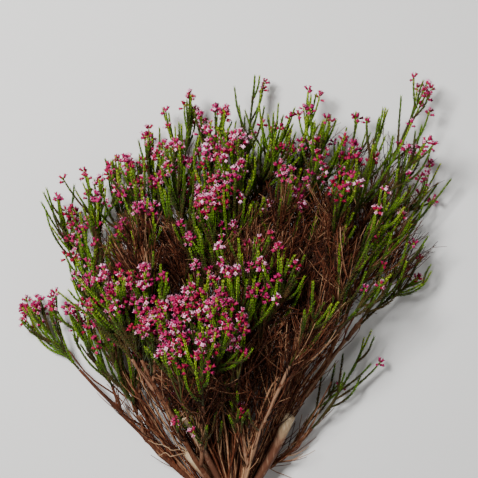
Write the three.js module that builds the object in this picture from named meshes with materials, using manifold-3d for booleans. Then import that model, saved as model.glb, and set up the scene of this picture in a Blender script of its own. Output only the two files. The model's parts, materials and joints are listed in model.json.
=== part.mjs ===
// Heath stem: one cut woody stem, much branched from its foot, with leafy sprays whose shoots end in heads
// of small pink bells. It lies on its side on a flat surface. Millimetres, +Z up, +Y from cut end to tips.
import * as THREE from "three";
import { mergeGeometries, mergeVertices } from "three/addons/utils/BufferGeometryUtils.js";
import Module from "manifold-3d";

const wasm = await Module();
wasm.setup();

// The foot: old wood below the first fork, cut across with a slant
const FOOT_LENGTH = 84;
const FOOT_RADIUS = 10.5;
const FOOT_HEIGHT = 9.6; // of its axis, under the radius, so that the foot has a flat to lie on
const FOOT_TOP = 16;
const FOOT_SIDES = 8;
const FOOT_SPANS = 6;
const CUT_SLANT = 5;
const KNOT_SWELL = 1.1;

// Limbs grow from the foot, and other branches fork from them
const LIMB_RADIUS = 3.1;
const FORK_RADIUS = 2;
const SPRAY_RADIUS = 1.25; // of the wood where a spray begins
const TAPER = 0.8; // under 1, wood thins early and then keeps its thickness
const LIMB_ROOT = 7; // where the limbs start inside the foot
const LIMB_GATHER = 0.05; // share of a knee's distance from the axis that the limb's root already has
const LIMB_SIDES = 6;
const LIMB_SPANS = 6;
const FORK_SIDES = 4;
const FORK_SPANS = 4;
const FORK_ANGLE = 0.6;
const FORK_FOLLOW = 0.4; // share of the way along which a fork keeps its first direction
const FORK_SEAT = 2.2; // half the length of the face that a fork is drawn out of
const STUB_SPANS = 3;

// Sprays, shoots and heads of bells
const SPRAY_LENGTH = 96;
const FRONT_SHARE = 0.8; // of that length on the branches in front
const SPRAY_MOST = 0.7; // most that a spray takes of its branch
const SPRAY_SPANS = 6;
const SPRAY_GAP = 0.35; // between the wood's end and the spray that it carries
const SHOOTS = 5;
const SHOOT_PLACES = [0.1, 0.72]; // first and last shoot, as shares of the spray
const SHOOT_LENGTHS = [56, 33];
const SHOOT_VARIES = [0.85, 1.15];
const SHOOT_SHRINK = 0.02; // share that a shoot loses with every try to find it a clear way
const LEAF_STEP = 17; // between the rings of leaf tips along a shoot
const SHOOT_ANGLE = 0.52;
const SHOOT_SEAT = 1.9;
const SHOOT_SIDES = 4;
const UPRIGHT = 0.8; // how far a shoot turns from its spray's direction towards +Y
const LEAF_TURN = 2.4; // the golden angle
const LEAF_REACH = 1.95; // of leaf tips from the middle of the shoot
const LEAF_RISE = 2.4;
const BARK_REACH = 0.95; // of the skin between the leaves
const NECK_REACH = 0.8;
const HEAD_REACH = 4.2; // of a head's four lobes, one for each bell
const HEAD_LENGTH = 4.6;
const HEAD_HOLLOW = 2;
const LOBE_RISE = 1.1;

// Dry twigs without leaves
const TWIGS = 36;
const TWIG_LENGTHS = [34, 64];
const TWIG_RADII = [0.85, 0.6];
const TWIG_SPANS = 2;
const TWIG_SIDES = 3;
const TWIG_PLACES = [0.25, 0.85]; // shares of the wood that they grow from
const TWIG_ANGLE = 0.6;

// Room that growths leave each other, and how they are bent clear
const CLEARANCE = 0.5;
const CROWN_END = 75; // up to here, wood may press against wood and is fused
const MOST_TRIES = 24;
const NUDGE = 2.6;
const KNEE_SHARE = 0.5; // of a nudge that also moves the knee
const FLOOR_ROOM = 2.1;
const SEED = 7331;

const TURN = 2 * Math.PI;
const UP = new THREE.Vector3(0, 0, 1);
const AHEAD = new THREE.Vector3(0, 1, 0);

// Branches: each bends over its knee to its tip. One in another's forks leaves it at that share of the
// other's wood, and where it has no knee, it bends out of its own first direction.
const BACK = [
  {
    knee: [-150, 136, 22],
    tip: [-184, 193, 18],
    forks: [
      { at: 0.64, tip: [-157, 194, 44] },
      { at: 0.46, tip: [-122, 186, 70] },
      {
        at: 0.2,
        knee: [-150, 200, 26],
        tip: [-161, 300, 30],
        forks: [
          { at: 0.84, tip: [-121, 312, 52] },
          { at: 0.62, tip: [-133, 240, 98] },
          { at: 0.5, tip: [-143, 256, 7] },
          { at: 0.36, tip: [-110, 264, 56] },
        ],
      },
    ],
  },
  {
    knee: [-62, 206, 38],
    tip: [-40, 383, 30],
    forks: [
      { at: 0.66, tip: [-55, 342, 80] },
      { at: 0.84, tip: [-14, 380, 54] },
      { at: 0.5, tip: [-38, 314, 52] },
      {
        at: 0.3,
        knee: [-104, 205, 34],
        tip: [-106, 335, 28],
        forks: [
          { at: 0.8, tip: [-75, 358, 40] },
          { at: 0.6, tip: [-86, 286, 96] },
          { at: 0.7, tip: [-92, 328, 60] },
        ],
      },
    ],
  },
  {
    knee: [-2, 215, 40],
    tip: [20, 410, 32],
    forks: [
      { at: 0.74, tip: [5, 352, 86] },
      { at: 0.55, tip: [-25, 296, 108] },
      { at: 0.88, tip: [36, 372, 62] },
      { at: 0.64, tip: [-8, 334, 58] },
      { at: 0.46, tip: [22, 294, 66] },
      {
        at: 0.36,
        knee: [44, 206, 38],
        tip: [72, 395, 30],
        forks: [
          { at: 0.8, tip: [88, 373, 58] },
          { at: 0.6, tip: [52, 322, 94] },
          { at: 0.44, tip: [78, 292, 60] },
        ],
      },
    ],
  },
  {
    knee: [100, 232, 36],
    tip: [178, 404, 32],
    forks: [
      { at: 0.84, tip: [153, 352, 66] },
      { at: 0.66, tip: [145, 300, 90] },
      {
        at: 0.34,
        knee: [84, 214, 42],
        tip: [115, 373, 34],
        forks: [{ at: 0.82, tip: [136, 380, 58] }, { at: 0.6, tip: [100, 312, 92] }],
      },
      {
        at: 0.56,
        tip: [192, 331, 24],
        forks: [{ at: 0.8, tip: [172, 341, 46] }, { at: 0.56, tip: [176, 296, 7] }],
      },
    ],
  },
  {
    knee: [98, 192, 24],
    tip: [172, 222, 22],
    forks: [
      { at: 0.88, tip: [167, 247, 46] },
      { at: 0.7, tip: [153, 283, 64] },
      { at: 0.16, tip: [128, 176, 24], forks: [{ at: 0.7, tip: [101, 128, 12] }] },
    ],
  },
];

// Branches that rise over the others, towards +Z
const FRONT = [
  {
    knee: [-70, 120, 84],
    tip: [-104, 213, 126],
    forks: [
      { at: 0.74, tip: [-131, 224, 104] },
      { at: 0.86, tip: [-76, 236, 138] },
      {
        at: 0.3,
        tip: [-47, 206, 150],
        forks: [{ at: 0.6, tip: [-27, 172, 168] }, { at: 0.84, tip: [-12, 204, 160] }],
      },
    ],
  },
  {
    knee: [30, 122, 90],
    tip: [78, 206, 134],
    forks: [
      { at: 0.7, tip: [116, 254, 118] },
      { at: 0.86, tip: [138, 230, 106] },
      {
        at: 0.3,
        tip: [22, 256, 138],
        forks: [{ at: 0.7, tip: [4, 226, 156] }, { at: 0.84, tip: [48, 238, 138] }],
      },
    ],
  },
];

// Pale stubs of old wood that were pruned: the flare is their end's radius as a share of their root's
const STUBS = [
  { knee: [-18, 36, 16], end: [-43, 64, 24], radius: 5.2, flare: 0.9 },
  { knee: [-20, 60, 44], end: [-44, 100, 72], radius: 3.2, flare: 0.8 },
  { knee: [30, 44, 30], end: [52, 100, 46], radius: 3.0, flare: 1.7 },
];

// Random draws by Park and Miller's rule, so that every build grows the same stem
const DRAW_FACTOR = 16807;
const DRAW_LIMIT = 2147483647;
let drawn = SEED;
function draw(low, high) {
  drawn = (drawn * DRAW_FACTOR) % DRAW_LIMIT;
  return low + ((high - low) * drawn) / DRAW_LIMIT;
}

const mix = (a, b, share) => a + (b - a) * share;
const vector = (numbers) => new THREE.Vector3(...numbers);
const between = (a, b) => b.clone().sub(a);

function notUnder(point, height) {
  point.z = Math.max(point.z, height);
  return point;
}

// The points of a quadratic curve from share t0 to share t1
function arc(start, knee, end, t0, t1, spans) {
  const points = [];
  for (let i = 0; i <= spans; i++) {
    const t = mix(t0, t1, i / spans);
    const there = start.clone().lerp(knee, t);
    points.push(notUnder(there.lerp(knee.clone().lerp(end, t), t), FLOOR_ROOM));
  }
  return points;
}

const lengthOf = (points) => points.slice(1).reduce((sum, p, i) => sum + p.distanceTo(points[i]), 0);

// The point and the direction at a share of a line of points
function along(points, share) {
  const place = share * (points.length - 1);
  const i = Math.min(Math.floor(place), points.length - 2);
  const ahead = between(points[i], points[i + 1]);
  return { point: points[i].clone().addScaledVector(ahead, place - i), ahead: ahead.normalize() };
}

// The shortest distance between two straight stretches
function apart(start1, end1, start2, end2) {
  const way1 = between(start1, end1);
  const way2 = between(start2, end2);
  const back = between(start2, start1);
  const [square1, square2, shared] = [way1.dot(way1), way2.dot(way2), way1.dot(way2)];
  const clamp = (share) => Math.min(Math.max(share, 0), 1);
  const skew = square1 * square2 - shared * shared;
  const first = skew > 0 ? clamp((shared * way2.dot(back) - way1.dot(back) * square2) / skew) : 0;
  const share2 = clamp((shared * first + way2.dot(back)) / square2);
  const share1 = clamp((shared * share2 - way1.dot(back)) / square1);
  return back.addScaledVector(way1, share1).addScaledVector(way2, -share2).length();
}

// What has grown so far: straight stretches, each with its radius, its node and the growth that it is in
const grown = [];
let growths = 0;

// The radius at a share of a growth's line, between its radii at the root and at the tip
const radiusAt = (radii, share) => mix(...radii, share ** TAPER);

function stretches(points, radii, node, growth) {
  return points.slice(1).map((end, i) => {
    const radius = radiusAt(radii, i / (points.length - 1));
    return { start: points[i], end, radius, node, growth };
  });
}

// Growths keep clear of each other, but for a growth's root and what carries it, and the crowded crown
function isClear(parts, carrier) {
  return parts.every((part, i) =>
    grown.every((other) => {
      if (i === 0 && other.growth === carrier) return true;
      const isWood = part.node === "wood" && other.node === "wood";
      if (isWood && Math.min(part.start.y, other.start.y) < CROWN_END) return true;
      return apart(part.start, part.end, other.start, other.end) > part.radius + other.radius + CLEARANCE;
    }),
  );
}

// A side growth's line: it leaves its carrier at an angle and turns towards the main direction
function sideLine(root, ahead, around, angle, main, length, spans) {
  const side = ahead.clone().cross(UP).normalize();
  const over = side.clone().cross(ahead);
  const out = side.multiplyScalar(Math.cos(around)).addScaledVector(over, Math.sin(around));
  const first = ahead.clone().multiplyScalar(Math.cos(angle)).addScaledVector(out, Math.sin(angle));
  const points = [root.clone()];
  for (let i = 0; i < spans; i++) {
    const step = first.clone().lerp(main, i / spans).normalize();
    points.push(notUnder(points[i].clone().addScaledVector(step, length / spans), FLOOR_ROOM));
  }
  return points;
}

// The stretches of a leafy line, with one more for the head at its end
function leafyStretches(points, node, growth) {
  const { point, ahead } = along(points, 1);
  const end = point.clone().addScaledVector(ahead, HEAD_LENGTH);
  return [
    ...stretches(points, [LEAF_REACH, LEAF_REACH], node, growth),
    { start: point, end, radius: HEAD_REACH, node, growth },
  ];
}

// One branch and all that forks from it: wood from the root to where its leaves begin, then its spray
function growBranch(plan, start, knee, thick, leafy, carrier, branches) {
  const node = `spray_${String(branches.length + 1).padStart(2, "0")}`;
  const spans = thick === LIMB_RADIUS ? LIMB_SPANS : FORK_SPANS;
  const growth = ++growths;
  let nudge = new THREE.Vector3();
  for (let tries = 1; tries <= MOST_TRIES; tries++) {
    const bentKnee = knee.clone().addScaledVector(nudge, KNEE_SHARE);
    const bentTip = vector(plan.tip).add(nudge);
    const whole = arc(start, bentKnee, bentTip, 0, 1, spans * 2);
    const leafStart = 1 - Math.min(leafy / lengthOf(whole), SPRAY_MOST);
    const wood = arc(start, bentKnee, bentTip, 0, leafStart, spans);
    const line = arc(start, bentKnee, bentTip, leafStart, 1, SPRAY_SPANS);
    line[0].addScaledVector(between(line[0], line[1]).normalize(), SPRAY_GAP);
    const woodParts = stretches(wood, [thick, SPRAY_RADIUS], "wood", growth);
    const leafParts = leafyStretches(line, node, growth);
    if (isClear(woodParts, carrier) && isClear(leafParts, 0)) {
      grown.push(...woodParts, ...leafParts);
      const branch = { wood, line, thick, node, growth, forks: [], shoots: [] };
      branches.push(branch);
      for (const fork of plan.forks ?? []) growFork(fork, branch, leafy, branches);
      return branch;
    }
    const reach = NUDGE * tries;
    nudge = vector([draw(-reach, reach), draw(-reach, reach), draw(-reach, reach)]);
  }
  throw new Error(`${node} finds no clear way`);
}

function growFork(fork, parent, leafy, branches) {
  const { point, ahead } = along(parent.wood, fork.at);
  const aim = between(point, vector(fork.knee ?? fork.tip));
  const out = aim.clone().addScaledVector(ahead, -aim.dot(ahead)).normalize();
  const first = ahead.clone().multiplyScalar(Math.cos(FORK_ANGLE)).addScaledVector(out, Math.sin(FORK_ANGLE));
  const bend = point.clone().addScaledVector(first, aim.length() * FORK_FOLLOW);
  const knee = fork.knee ? vector(fork.knee) : bend;
  const branch = growBranch(fork, point, knee, FORK_RADIUS, leafy, parent.growth, branches);
  parent.forks.push({ at: fork.at, branch });
}

function growShoots(branch) {
  let around = draw(0, TURN);
  for (let i = 0; i < SHOOTS; i++) {
    const share = i / (SHOOTS - 1);
    const at = mix(...SHOOT_PLACES, share);
    const { point, ahead } = along(branch.line, at);
    const main = ahead.clone().lerp(AHEAD, UPRIGHT).normalize();
    const length = mix(...SHOOT_LENGTHS, share) * draw(...SHOOT_VARIES);
    const growth = ++growths;
    for (let tries = 0; tries < MOST_TRIES; tries++) {
      around += LEAF_TURN;
      const reach = length * (1 - SHOOT_SHRINK * tries);
      const spans = Math.round(reach / LEAF_STEP);
      const points = sideLine(point, ahead, around, SHOOT_ANGLE, main, reach, spans);
      const parts = leafyStretches(points, branch.node, growth);
      if (isClear(parts, branch.growth)) {
        grown.push(...parts);
        branch.shoots.push({ at, points });
        break;
      }
    }
  }
}

function growTwig(branch, twigs) {
  const { point, ahead } = along(branch.wood, draw(...TWIG_PLACES));
  const length = draw(...TWIG_LENGTHS);
  const growth = ++growths;
  for (let tries = 0; tries < MOST_TRIES; tries++) {
    const around = draw(0, TURN);
    const points = sideLine(point, ahead, around, TWIG_ANGLE, ahead, length, TWIG_SPANS);
    const parts = stretches(points, TWIG_RADII, "wood", growth);
    if (isClear(parts, branch.growth)) {
      grown.push(...parts);
      twigs.push(points);
      return;
    }
  }
}

function growStub({ knee, end, radius, flare }) {
  const root = vector([0, LIMB_ROOT, FOOT_HEIGHT]);
  const points = arc(root, vector(knee), vector(end), 0, 1, STUB_SPANS);
  const radii = [radius, radius * flare];
  grown.push(...stretches(points, radii, "wood", 0));
  return { points, radii };
}

function growLimb(plan, branches) {
  const knee = vector(plan.knee);
  const start = vector([knee.x * LIMB_GATHER, LIMB_ROOT, FOOT_HEIGHT + knee.z * LIMB_GATHER]);
  const leafy = SPRAY_LENGTH * (FRONT.includes(plan) ? FRONT_SHARE : 1);
  return growBranch(plan, start, knee, LIMB_RADIUS, leafy, -1, branches);
}

// The whole stem's lines: stubs, limbs with all their branches, shoots, and dry twigs
function growStem() {
  const stubs = STUBS.map(growStub);
  const branches = [];
  const limbs = [...BACK, ...FRONT].map((plan) => growLimb(plan, branches));
  branches.forEach(growShoots);
  const twigs = [];
  for (let i = 0; i < TWIGS; i++) growTwig(branches[Math.floor(draw(0, branches.length))], twigs);
  return { branches, limbs, twigs, stubs };
}

// A stalk's skin, as the loops of corners round its rings. A ring has its point, the direction ahead, and
// each corner's reach and push ahead. A stalk with a root starts from that open face of another stalk.
function newStalk(rings, sides, root, turn = 0) {
  const loops = root ? [root.loop] : [];
  const side = root ? root.side.clone() : rings[0].ahead.clone().cross(UP);
  for (const { point, ahead, corner } of rings) {
    side.addScaledVector(ahead, -side.dot(ahead)).normalize();
    const over = side.clone().cross(ahead);
    const loop = [];
    for (let c = 0; c < sides; c++) {
      const { reach, push = 0 } = corner(c);
      const angle = turn + (c / sides) * TURN;
      const place = point.clone().addScaledVector(ahead, push);
      place.addScaledVector(side, reach * Math.cos(angle)).addScaledVector(over, reach * Math.sin(angle));
      loop.push(notUnder(place, 0));
    }
    loops.push(loop);
  }
  const tip = rings[rings.length - 1];
  const tipMiddle = tip.point.clone().addScaledVector(tip.ahead, -(tip.hollow ?? 0));
  const rootMiddle = rings[0].point.clone();
  return { loops, sides, isRooted: Boolean(root), rootMiddle, tipMiddle, open: new Set() };
}

// Opens the face of a stalk's span that looks most nearly in a direction, so that another grows out of it
function openFace(stalk, span, direction) {
  const { loops, sides, open } = stalk;
  const [near, far] = [loops[span], loops[span + 1]];
  const faces = near.map((_, c) => {
    const next = (c + 1) % sides;
    const loop = [near[c], near[next], far[next], far[c]];
    const facing = between(loop[0], loop[2]).cross(between(loop[3], loop[1])).normalize().dot(direction);
    const middle = loop.reduce((sum, place) => sum.add(place), new THREE.Vector3()).divideScalar(loop.length);
    return { loop, facing, side: between(middle, loop[0]), quad: c * (loops.length - 1) + span };
  });
  const best = faces.reduce((a, b) => (b.facing > a.facing ? b : a));
  open.add(best.quad);
  return best;
}

// A stalk's geometry: a cylinder whose corners are moved to the stalk's, without its open faces. The
// cylinder lists its sides column by column, with two triangles a span, then the root's cap and the tip's.
function stalkGeometry({ loops, sides, isRooted, rootMiddle, tipMiddle, open }) {
  const spans = loops.length - 1;
  const geometry = new THREE.CylinderGeometry(1, 1, 1, sides, spans);
  geometry.deleteAttribute("normal");
  geometry.deleteAttribute("uv");
  const position = geometry.getAttribute("position");
  for (let i = 0; i < position.count; i++) {
    const spot = new THREE.Vector3().fromBufferAttribute(position, i);
    const ring = Math.round((0.5 - spot.y) * spans);
    const corner = Math.round((Math.atan2(spot.x, spot.z) / TURN + 1) * sides) % sides;
    const middle = ring ? tipMiddle : rootMiddle;
    const place = Math.hypot(spot.x, spot.z) < 0.5 ? middle : loops[ring][corner];
    position.setXYZ(i, place.x, place.y, place.z);
  }
  const [wall, rootCap] = geometry.groups;
  const kept = Array.from(geometry.index.array).filter((_, i) => {
    if (i < wall.count) return !open.has(Math.floor(i / 6));
    return !isRooted || i >= wall.count + rootCap.count;
  });
  geometry.setIndex(kept);
  geometry.clearGroups();
  return geometry;
}

// One solid of stalks that grow out of each other's faces
function solidOf(stalks) {
  const geometry = mergeVertices(mergeGeometries(stalks.map(stalkGeometry)));
  const vertProperties = new Float32Array(geometry.getAttribute("position").array);
  const triVerts = new Uint32Array(geometry.index.array);
  return new wasm.Manifold(new wasm.Mesh({ numProp: 3, vertProperties, triVerts }));
}

// Shares of a line where its rings stand: a pair round each seat, and plain ones between
function stations(length, spans, seats, halfSeat) {
  const half = halfSeat / length;
  const pairs = seats.flatMap((at) => [at - half, at + half]);
  const plain = [];
  for (let i = 0; i <= spans; i++) {
    const share = i / spans;
    const isEnd = i === 0 || i === spans;
    if (isEnd || seats.every((at) => Math.abs(at - share) > 3 * half)) plain.push(share);
  }
  return [...pairs, ...plain].sort((a, b) => a - b);
}

const spanAt = (shares, at) => shares.findIndex((share) => share > at) - 1;

// The rings of a leafy line: leaf tips stand out at every second corner, turned by one corner from ring
// to ring, and after them come the neck and the four-lobed head of bells
function leafyRings(points, shares, bareRings) {
  const rings = shares.map((share, i) => {
    const isNeck = i === shares.length - 1;
    const corner = (c) => {
      if (isNeck) return { reach: NECK_REACH };
      if (i < bareRings) return { reach: SPRAY_RADIUS };
      return (i + c) % 2 ? { reach: BARK_REACH } : { reach: LEAF_REACH, push: LEAF_RISE };
    };
    return { ...along(points, share), corner };
  });
  const { point, ahead } = rings[rings.length - 1];
  const mouth = notUnder(point.clone().addScaledVector(ahead, HEAD_LENGTH), FLOOR_ROOM);
  const lobe = (c) => ({ reach: HEAD_REACH, push: c % 2 ? -LOBE_RISE : LOBE_RISE });
  return [...rings, { point: mouth, ahead, corner: lobe, hollow: HEAD_HOLLOW }];
}

// A spray: every shoot grows out of a face of the spray's own line
function spraySolid({ line, shoots }) {
  const seats = shoots.map((shoot) => shoot.at);
  const shares = stations(lengthOf(line), 1, seats, SHOOT_SEAT);
  const stem = newStalk(leafyRings(line, shares, 1), SHOOT_SIDES, null);
  const side = shoots.map(({ at, points }) => {
    const root = openFace(stem, spanAt(shares, at), between(points[0], points[1]).normalize());
    const steps = points.slice(1).map((_, i) => (i + 1) / (points.length - 1));
    return newStalk(leafyRings(points, steps, 0), SHOOT_SIDES, root);
  });
  return solidOf([stem, ...side]);
}

// The stalks of a branch's wood and of all that forks from it
function woodStalks({ wood, thick, forks }, root) {
  const spans = root ? FORK_SPANS : LIMB_SPANS;
  const seats = forks.map((fork) => fork.at);
  const shares = stations(lengthOf(wood), spans, seats, FORK_SEAT);
  const rings = shares.map((share) => {
    const reach = radiusAt([thick, SPRAY_RADIUS], share);
    return { ...along(wood, share), corner: () => ({ reach }) };
  });
  const stalk = newStalk(root ? rings.slice(1) : rings, root ? FORK_SIDES : LIMB_SIDES, root);
  const others = forks.flatMap(({ at, branch }) => {
    const direction = between(branch.wood[0], branch.wood[1]).normalize();
    return woodStalks(branch, openFace(stalk, spanAt(shares, at), direction));
  });
  return [stalk, ...others];
}

function plainSolid(points, sides, radii) {
  const rings = points.map((point, i) => {
    const share = i / (points.length - 1);
    const reach = mix(...radii, share);
    return { point, ahead: along(points, share).ahead, corner: () => ({ reach }) };
  });
  return solidOf([newStalk(rings, sides, null)]);
}

// The foot, turned so that one of its sides lies flat
function footSolid() {
  const halfSide = TURN / FOOT_SIDES / 2;
  const rings = [];
  for (let i = 0; i <= FOOT_SPANS; i++) {
    const y = mix(FOOT_TOP - FOOT_LENGTH, FOOT_TOP, i / FOOT_SPANS);
    const corner = (c) => {
      const isKnot = i > 0 && (i * 3 + c * 2) % 5 === 0;
      const slant = i ? 0 : CUT_SLANT * Math.sin(halfSide + (c / FOOT_SIDES) * TURN);
      return { reach: FOOT_RADIUS * (isKnot ? KNOT_SWELL : 1), push: slant };
    };
    rings.push({ point: vector([0, y, FOOT_HEIGHT]), ahead: AHEAD, corner });
  }
  return solidOf([newStalk(rings, FOOT_SIDES, null, halfSide)]);
}

function woodSolid({ limbs, twigs, stubs }) {
  const solids = [
    ...stubs.map(({ points, radii }) => plainSolid(points, LIMB_SIDES, radii)),
    ...limbs.map((limb) => solidOf(woodStalks(limb, null))),
    ...twigs.map((points) => plainSolid(points, TWIG_SIDES, TWIG_RADII)),
  ];
  return solids.reduce((whole, solid) => whole.add(solid), footSolid());
}

function meshOf(name, solid, material) {
  const { vertProperties, numProp, triVerts } = solid.getMesh();
  const corners = new THREE.InterleavedBuffer(vertProperties, numProp);
  const geometry = new THREE.BufferGeometry();
  geometry.setAttribute("position", new THREE.InterleavedBufferAttribute(corners, 3, 0));
  geometry.setIndex(new THREE.BufferAttribute(triVerts, 1));
  const mesh = new THREE.Mesh(geometry, material);
  mesh.name = name;
  return mesh;
}

const bark = new THREE.MeshStandardMaterial({ color: 0x6b4632, roughness: 0.85, metalness: 0 });
const foliage = new THREE.MeshStandardMaterial({ color: 0x6f8a32, roughness: 0.7, metalness: 0 });

const stem = growStem();
const group = new THREE.Group();
group.add(meshOf("wood", woodSolid(stem), bark));
stem.branches.forEach((branch) => group.add(meshOf(branch.node, spraySolid(branch), foliage)));

// The origin is moved under the middle of the stem
const middle = new THREE.Box3().setFromObject(group).getCenter(new THREE.Vector3());
group.position.set(-middle.x, -middle.y, 0);

export default group;
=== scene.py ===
"""Heath stem: the looks of a cut, much-branched heath stem in flower, lying on a pale surface."""

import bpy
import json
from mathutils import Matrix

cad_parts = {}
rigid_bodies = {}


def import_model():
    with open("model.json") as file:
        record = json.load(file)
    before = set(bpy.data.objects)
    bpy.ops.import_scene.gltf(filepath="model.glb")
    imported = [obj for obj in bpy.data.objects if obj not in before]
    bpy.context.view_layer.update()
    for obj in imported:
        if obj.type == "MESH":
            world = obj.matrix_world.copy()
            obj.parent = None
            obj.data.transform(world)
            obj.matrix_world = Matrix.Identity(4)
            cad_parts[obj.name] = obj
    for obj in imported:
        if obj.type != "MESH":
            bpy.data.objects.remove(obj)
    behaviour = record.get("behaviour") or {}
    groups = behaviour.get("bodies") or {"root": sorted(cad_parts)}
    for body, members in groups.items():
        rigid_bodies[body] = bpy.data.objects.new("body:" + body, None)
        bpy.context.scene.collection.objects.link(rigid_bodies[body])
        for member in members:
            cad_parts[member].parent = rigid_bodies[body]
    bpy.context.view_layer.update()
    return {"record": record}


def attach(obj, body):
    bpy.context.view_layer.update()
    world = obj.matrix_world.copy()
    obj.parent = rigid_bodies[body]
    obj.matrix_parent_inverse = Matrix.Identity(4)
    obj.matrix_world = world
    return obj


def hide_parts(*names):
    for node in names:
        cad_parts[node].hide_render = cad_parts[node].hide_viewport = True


bl_info = {
    "name": "Heath Stem",
    "version": (1, 0, 0),
    "blender": (4, 5, 0),
    "location": "3D View > Sidebar > Heath Stem",
    "description": "Models the bark, dry twigs, needle leaves and bells of a cut heath stem",
    "category": "Object",
}

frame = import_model()

import functools
import json
import math
from types import SimpleNamespace

import bpy
import numpy as np
from mathutils.kdtree import KDTree

MM = 0.001
TAU = 2 * math.pi
RIGHT = np.array([1.0, 0.0, 0.0])
UP = np.array([0.0, 0.0, 1.0])
AHEAD = np.array([0.0, 1.0, 0.0])
STEEP = 0.9  # a direction that rises more than this finds its sides without UP

# The stem's own lines, in millimetres, with +Y from the cut end to the tips: the same sizes and the same
# order of draws as the solids have, so that what is modelled here stands where they are
FOOT_LENGTH = 84
FOOT_RADIUS = 10.5
FOOT_HEIGHT = 9.6
FOOT_TOP = 16
CUT_SLANT = 5
LIMB_RADIUS = 3.1
FORK_RADIUS = 2
SPRAY_RADIUS = 1.25
TAPER = 0.8
LIMB_ROOT = 7
LIMB_GATHER = 0.05
LIMB_SPANS = 6
FORK_SPANS = 4
FORK_ANGLE = 0.6
FORK_FOLLOW = 0.4
STUB_SPANS = 3
SPRAY_LENGTH = 96
FRONT_SHARE = 0.8
SPRAY_MOST = 0.7
SPRAY_SPANS = 6
SPRAY_GAP = 0.35
SHOOTS = 5
SHOOT_PLACES = (0.1, 0.72)
SHOOT_LENGTHS = (56, 33)
SHOOT_VARIES = (0.85, 1.15)
SHOOT_SHRINK = 0.02
LEAF_STEP = 17
SHOOT_ANGLE = 0.52
UPRIGHT = 0.8
LEAF_TURN = 2.4
LEAF_REACH = 1.95
HEAD_REACH = 4.2
HEAD_LENGTH = 4.6
TWIGS = 36
TWIG_LENGTHS = (34, 64)
TWIG_RADII = (0.85, 0.6)
TWIG_SPANS = 2
TWIG_PLACES = (0.25, 0.85)
TWIG_ANGLE = 0.6
CLEARANCE = 0.5
CROWN_END = 75
MOST_TRIES = 24
NUDGE = 2.6
KNEE_SHARE = 0.5
FLOOR_ROOM = 2.1
SEED = 7331
DRAW_FACTOR = 16807
DRAW_LIMIT = 2147483647

# The flat face under the foot has this place on the stem, and the record's mount says where that is
REST_FACE = np.array([0.0, -19.0, 0.0])
SHIFT = np.array(frame["record"]["mounts"][0]["pos_m"]) / MM - REST_FACE

# Branches: each bends over its knee to its tip. One in another's forks leaves it at that share of the
# other's wood, and where it has no knee, it bends out of its own first direction.
BACK = [
    {"knee": (-150, 136, 22), "tip": (-184, 193, 18), "forks": [
        {"at": 0.64, "tip": (-157, 194, 44)},
        {"at": 0.46, "tip": (-122, 186, 70)},
        {"at": 0.2, "knee": (-150, 200, 26), "tip": (-161, 300, 30), "sparse": True, "forks": [
            {"at": 0.84, "tip": (-121, 312, 52)},
            {"at": 0.62, "tip": (-133, 240, 98)},
            {"at": 0.5, "tip": (-143, 256, 7), "sparse": True},
            {"at": 0.36, "tip": (-110, 264, 56)},
        ]},
    ]},
    {"knee": (-62, 206, 38), "tip": (-40, 383, 30), "forks": [
        {"at": 0.66, "tip": (-55, 342, 80)},
        {"at": 0.84, "tip": (-14, 380, 54)},
        {"at": 0.5, "tip": (-38, 314, 52)},
        {"at": 0.3, "knee": (-104, 205, 34), "tip": (-106, 335, 28), "forks": [
            {"at": 0.8, "tip": (-75, 358, 40)},
            {"at": 0.6, "tip": (-86, 286, 96)},
            {"at": 0.7, "tip": (-92, 328, 60)},
        ]},
    ]},
    {"knee": (-2, 215, 40), "tip": (20, 410, 32), "sparse": True, "forks": [
        {"at": 0.74, "tip": (5, 352, 86)},
        {"at": 0.55, "tip": (-25, 296, 108)},
        {"at": 0.88, "tip": (36, 372, 62)},
        {"at": 0.64, "tip": (-8, 334, 58)},
        {"at": 0.46, "tip": (22, 294, 66), "sparse": True},
        {"at": 0.36, "knee": (44, 206, 38), "tip": (72, 395, 30), "forks": [
            {"at": 0.8, "tip": (88, 373, 58)},
            {"at": 0.6, "tip": (52, 322, 94)},
            {"at": 0.44, "tip": (78, 292, 60), "sparse": True},
        ]},
    ]},
    {"knee": (100, 232, 36), "tip": (178, 404, 32), "sparse": True, "forks": [
        {"at": 0.84, "tip": (153, 352, 66), "sparse": True},
        {"at": 0.66, "tip": (145, 300, 90), "sparse": True},
        {"at": 0.34, "knee": (84, 214, 42), "tip": (115, 373, 34), "forks": [
            {"at": 0.82, "tip": (136, 380, 58)},
            {"at": 0.6, "tip": (100, 312, 92)},
        ]},
        {"at": 0.56, "tip": (192, 331, 24), "sparse": True, "forks": [
            {"at": 0.8, "tip": (172, 341, 46), "sparse": True},
            {"at": 0.56, "tip": (176, 296, 7), "sparse": True},
        ]},
    ]},
    {"knee": (98, 192, 24), "tip": (172, 222, 22), "tone": 0.95, "forks": [
        {"at": 0.88, "tip": (167, 247, 46), "sparse": True},
        {"at": 0.7, "tip": (153, 283, 64), "sparse": True},
        {"at": 0.16, "tip": (128, 176, 24), "sparse": True, "forks": [
            {"at": 0.7, "tip": (101, 128, 12), "sparse": True},
        ]},
    ]},
]

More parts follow.
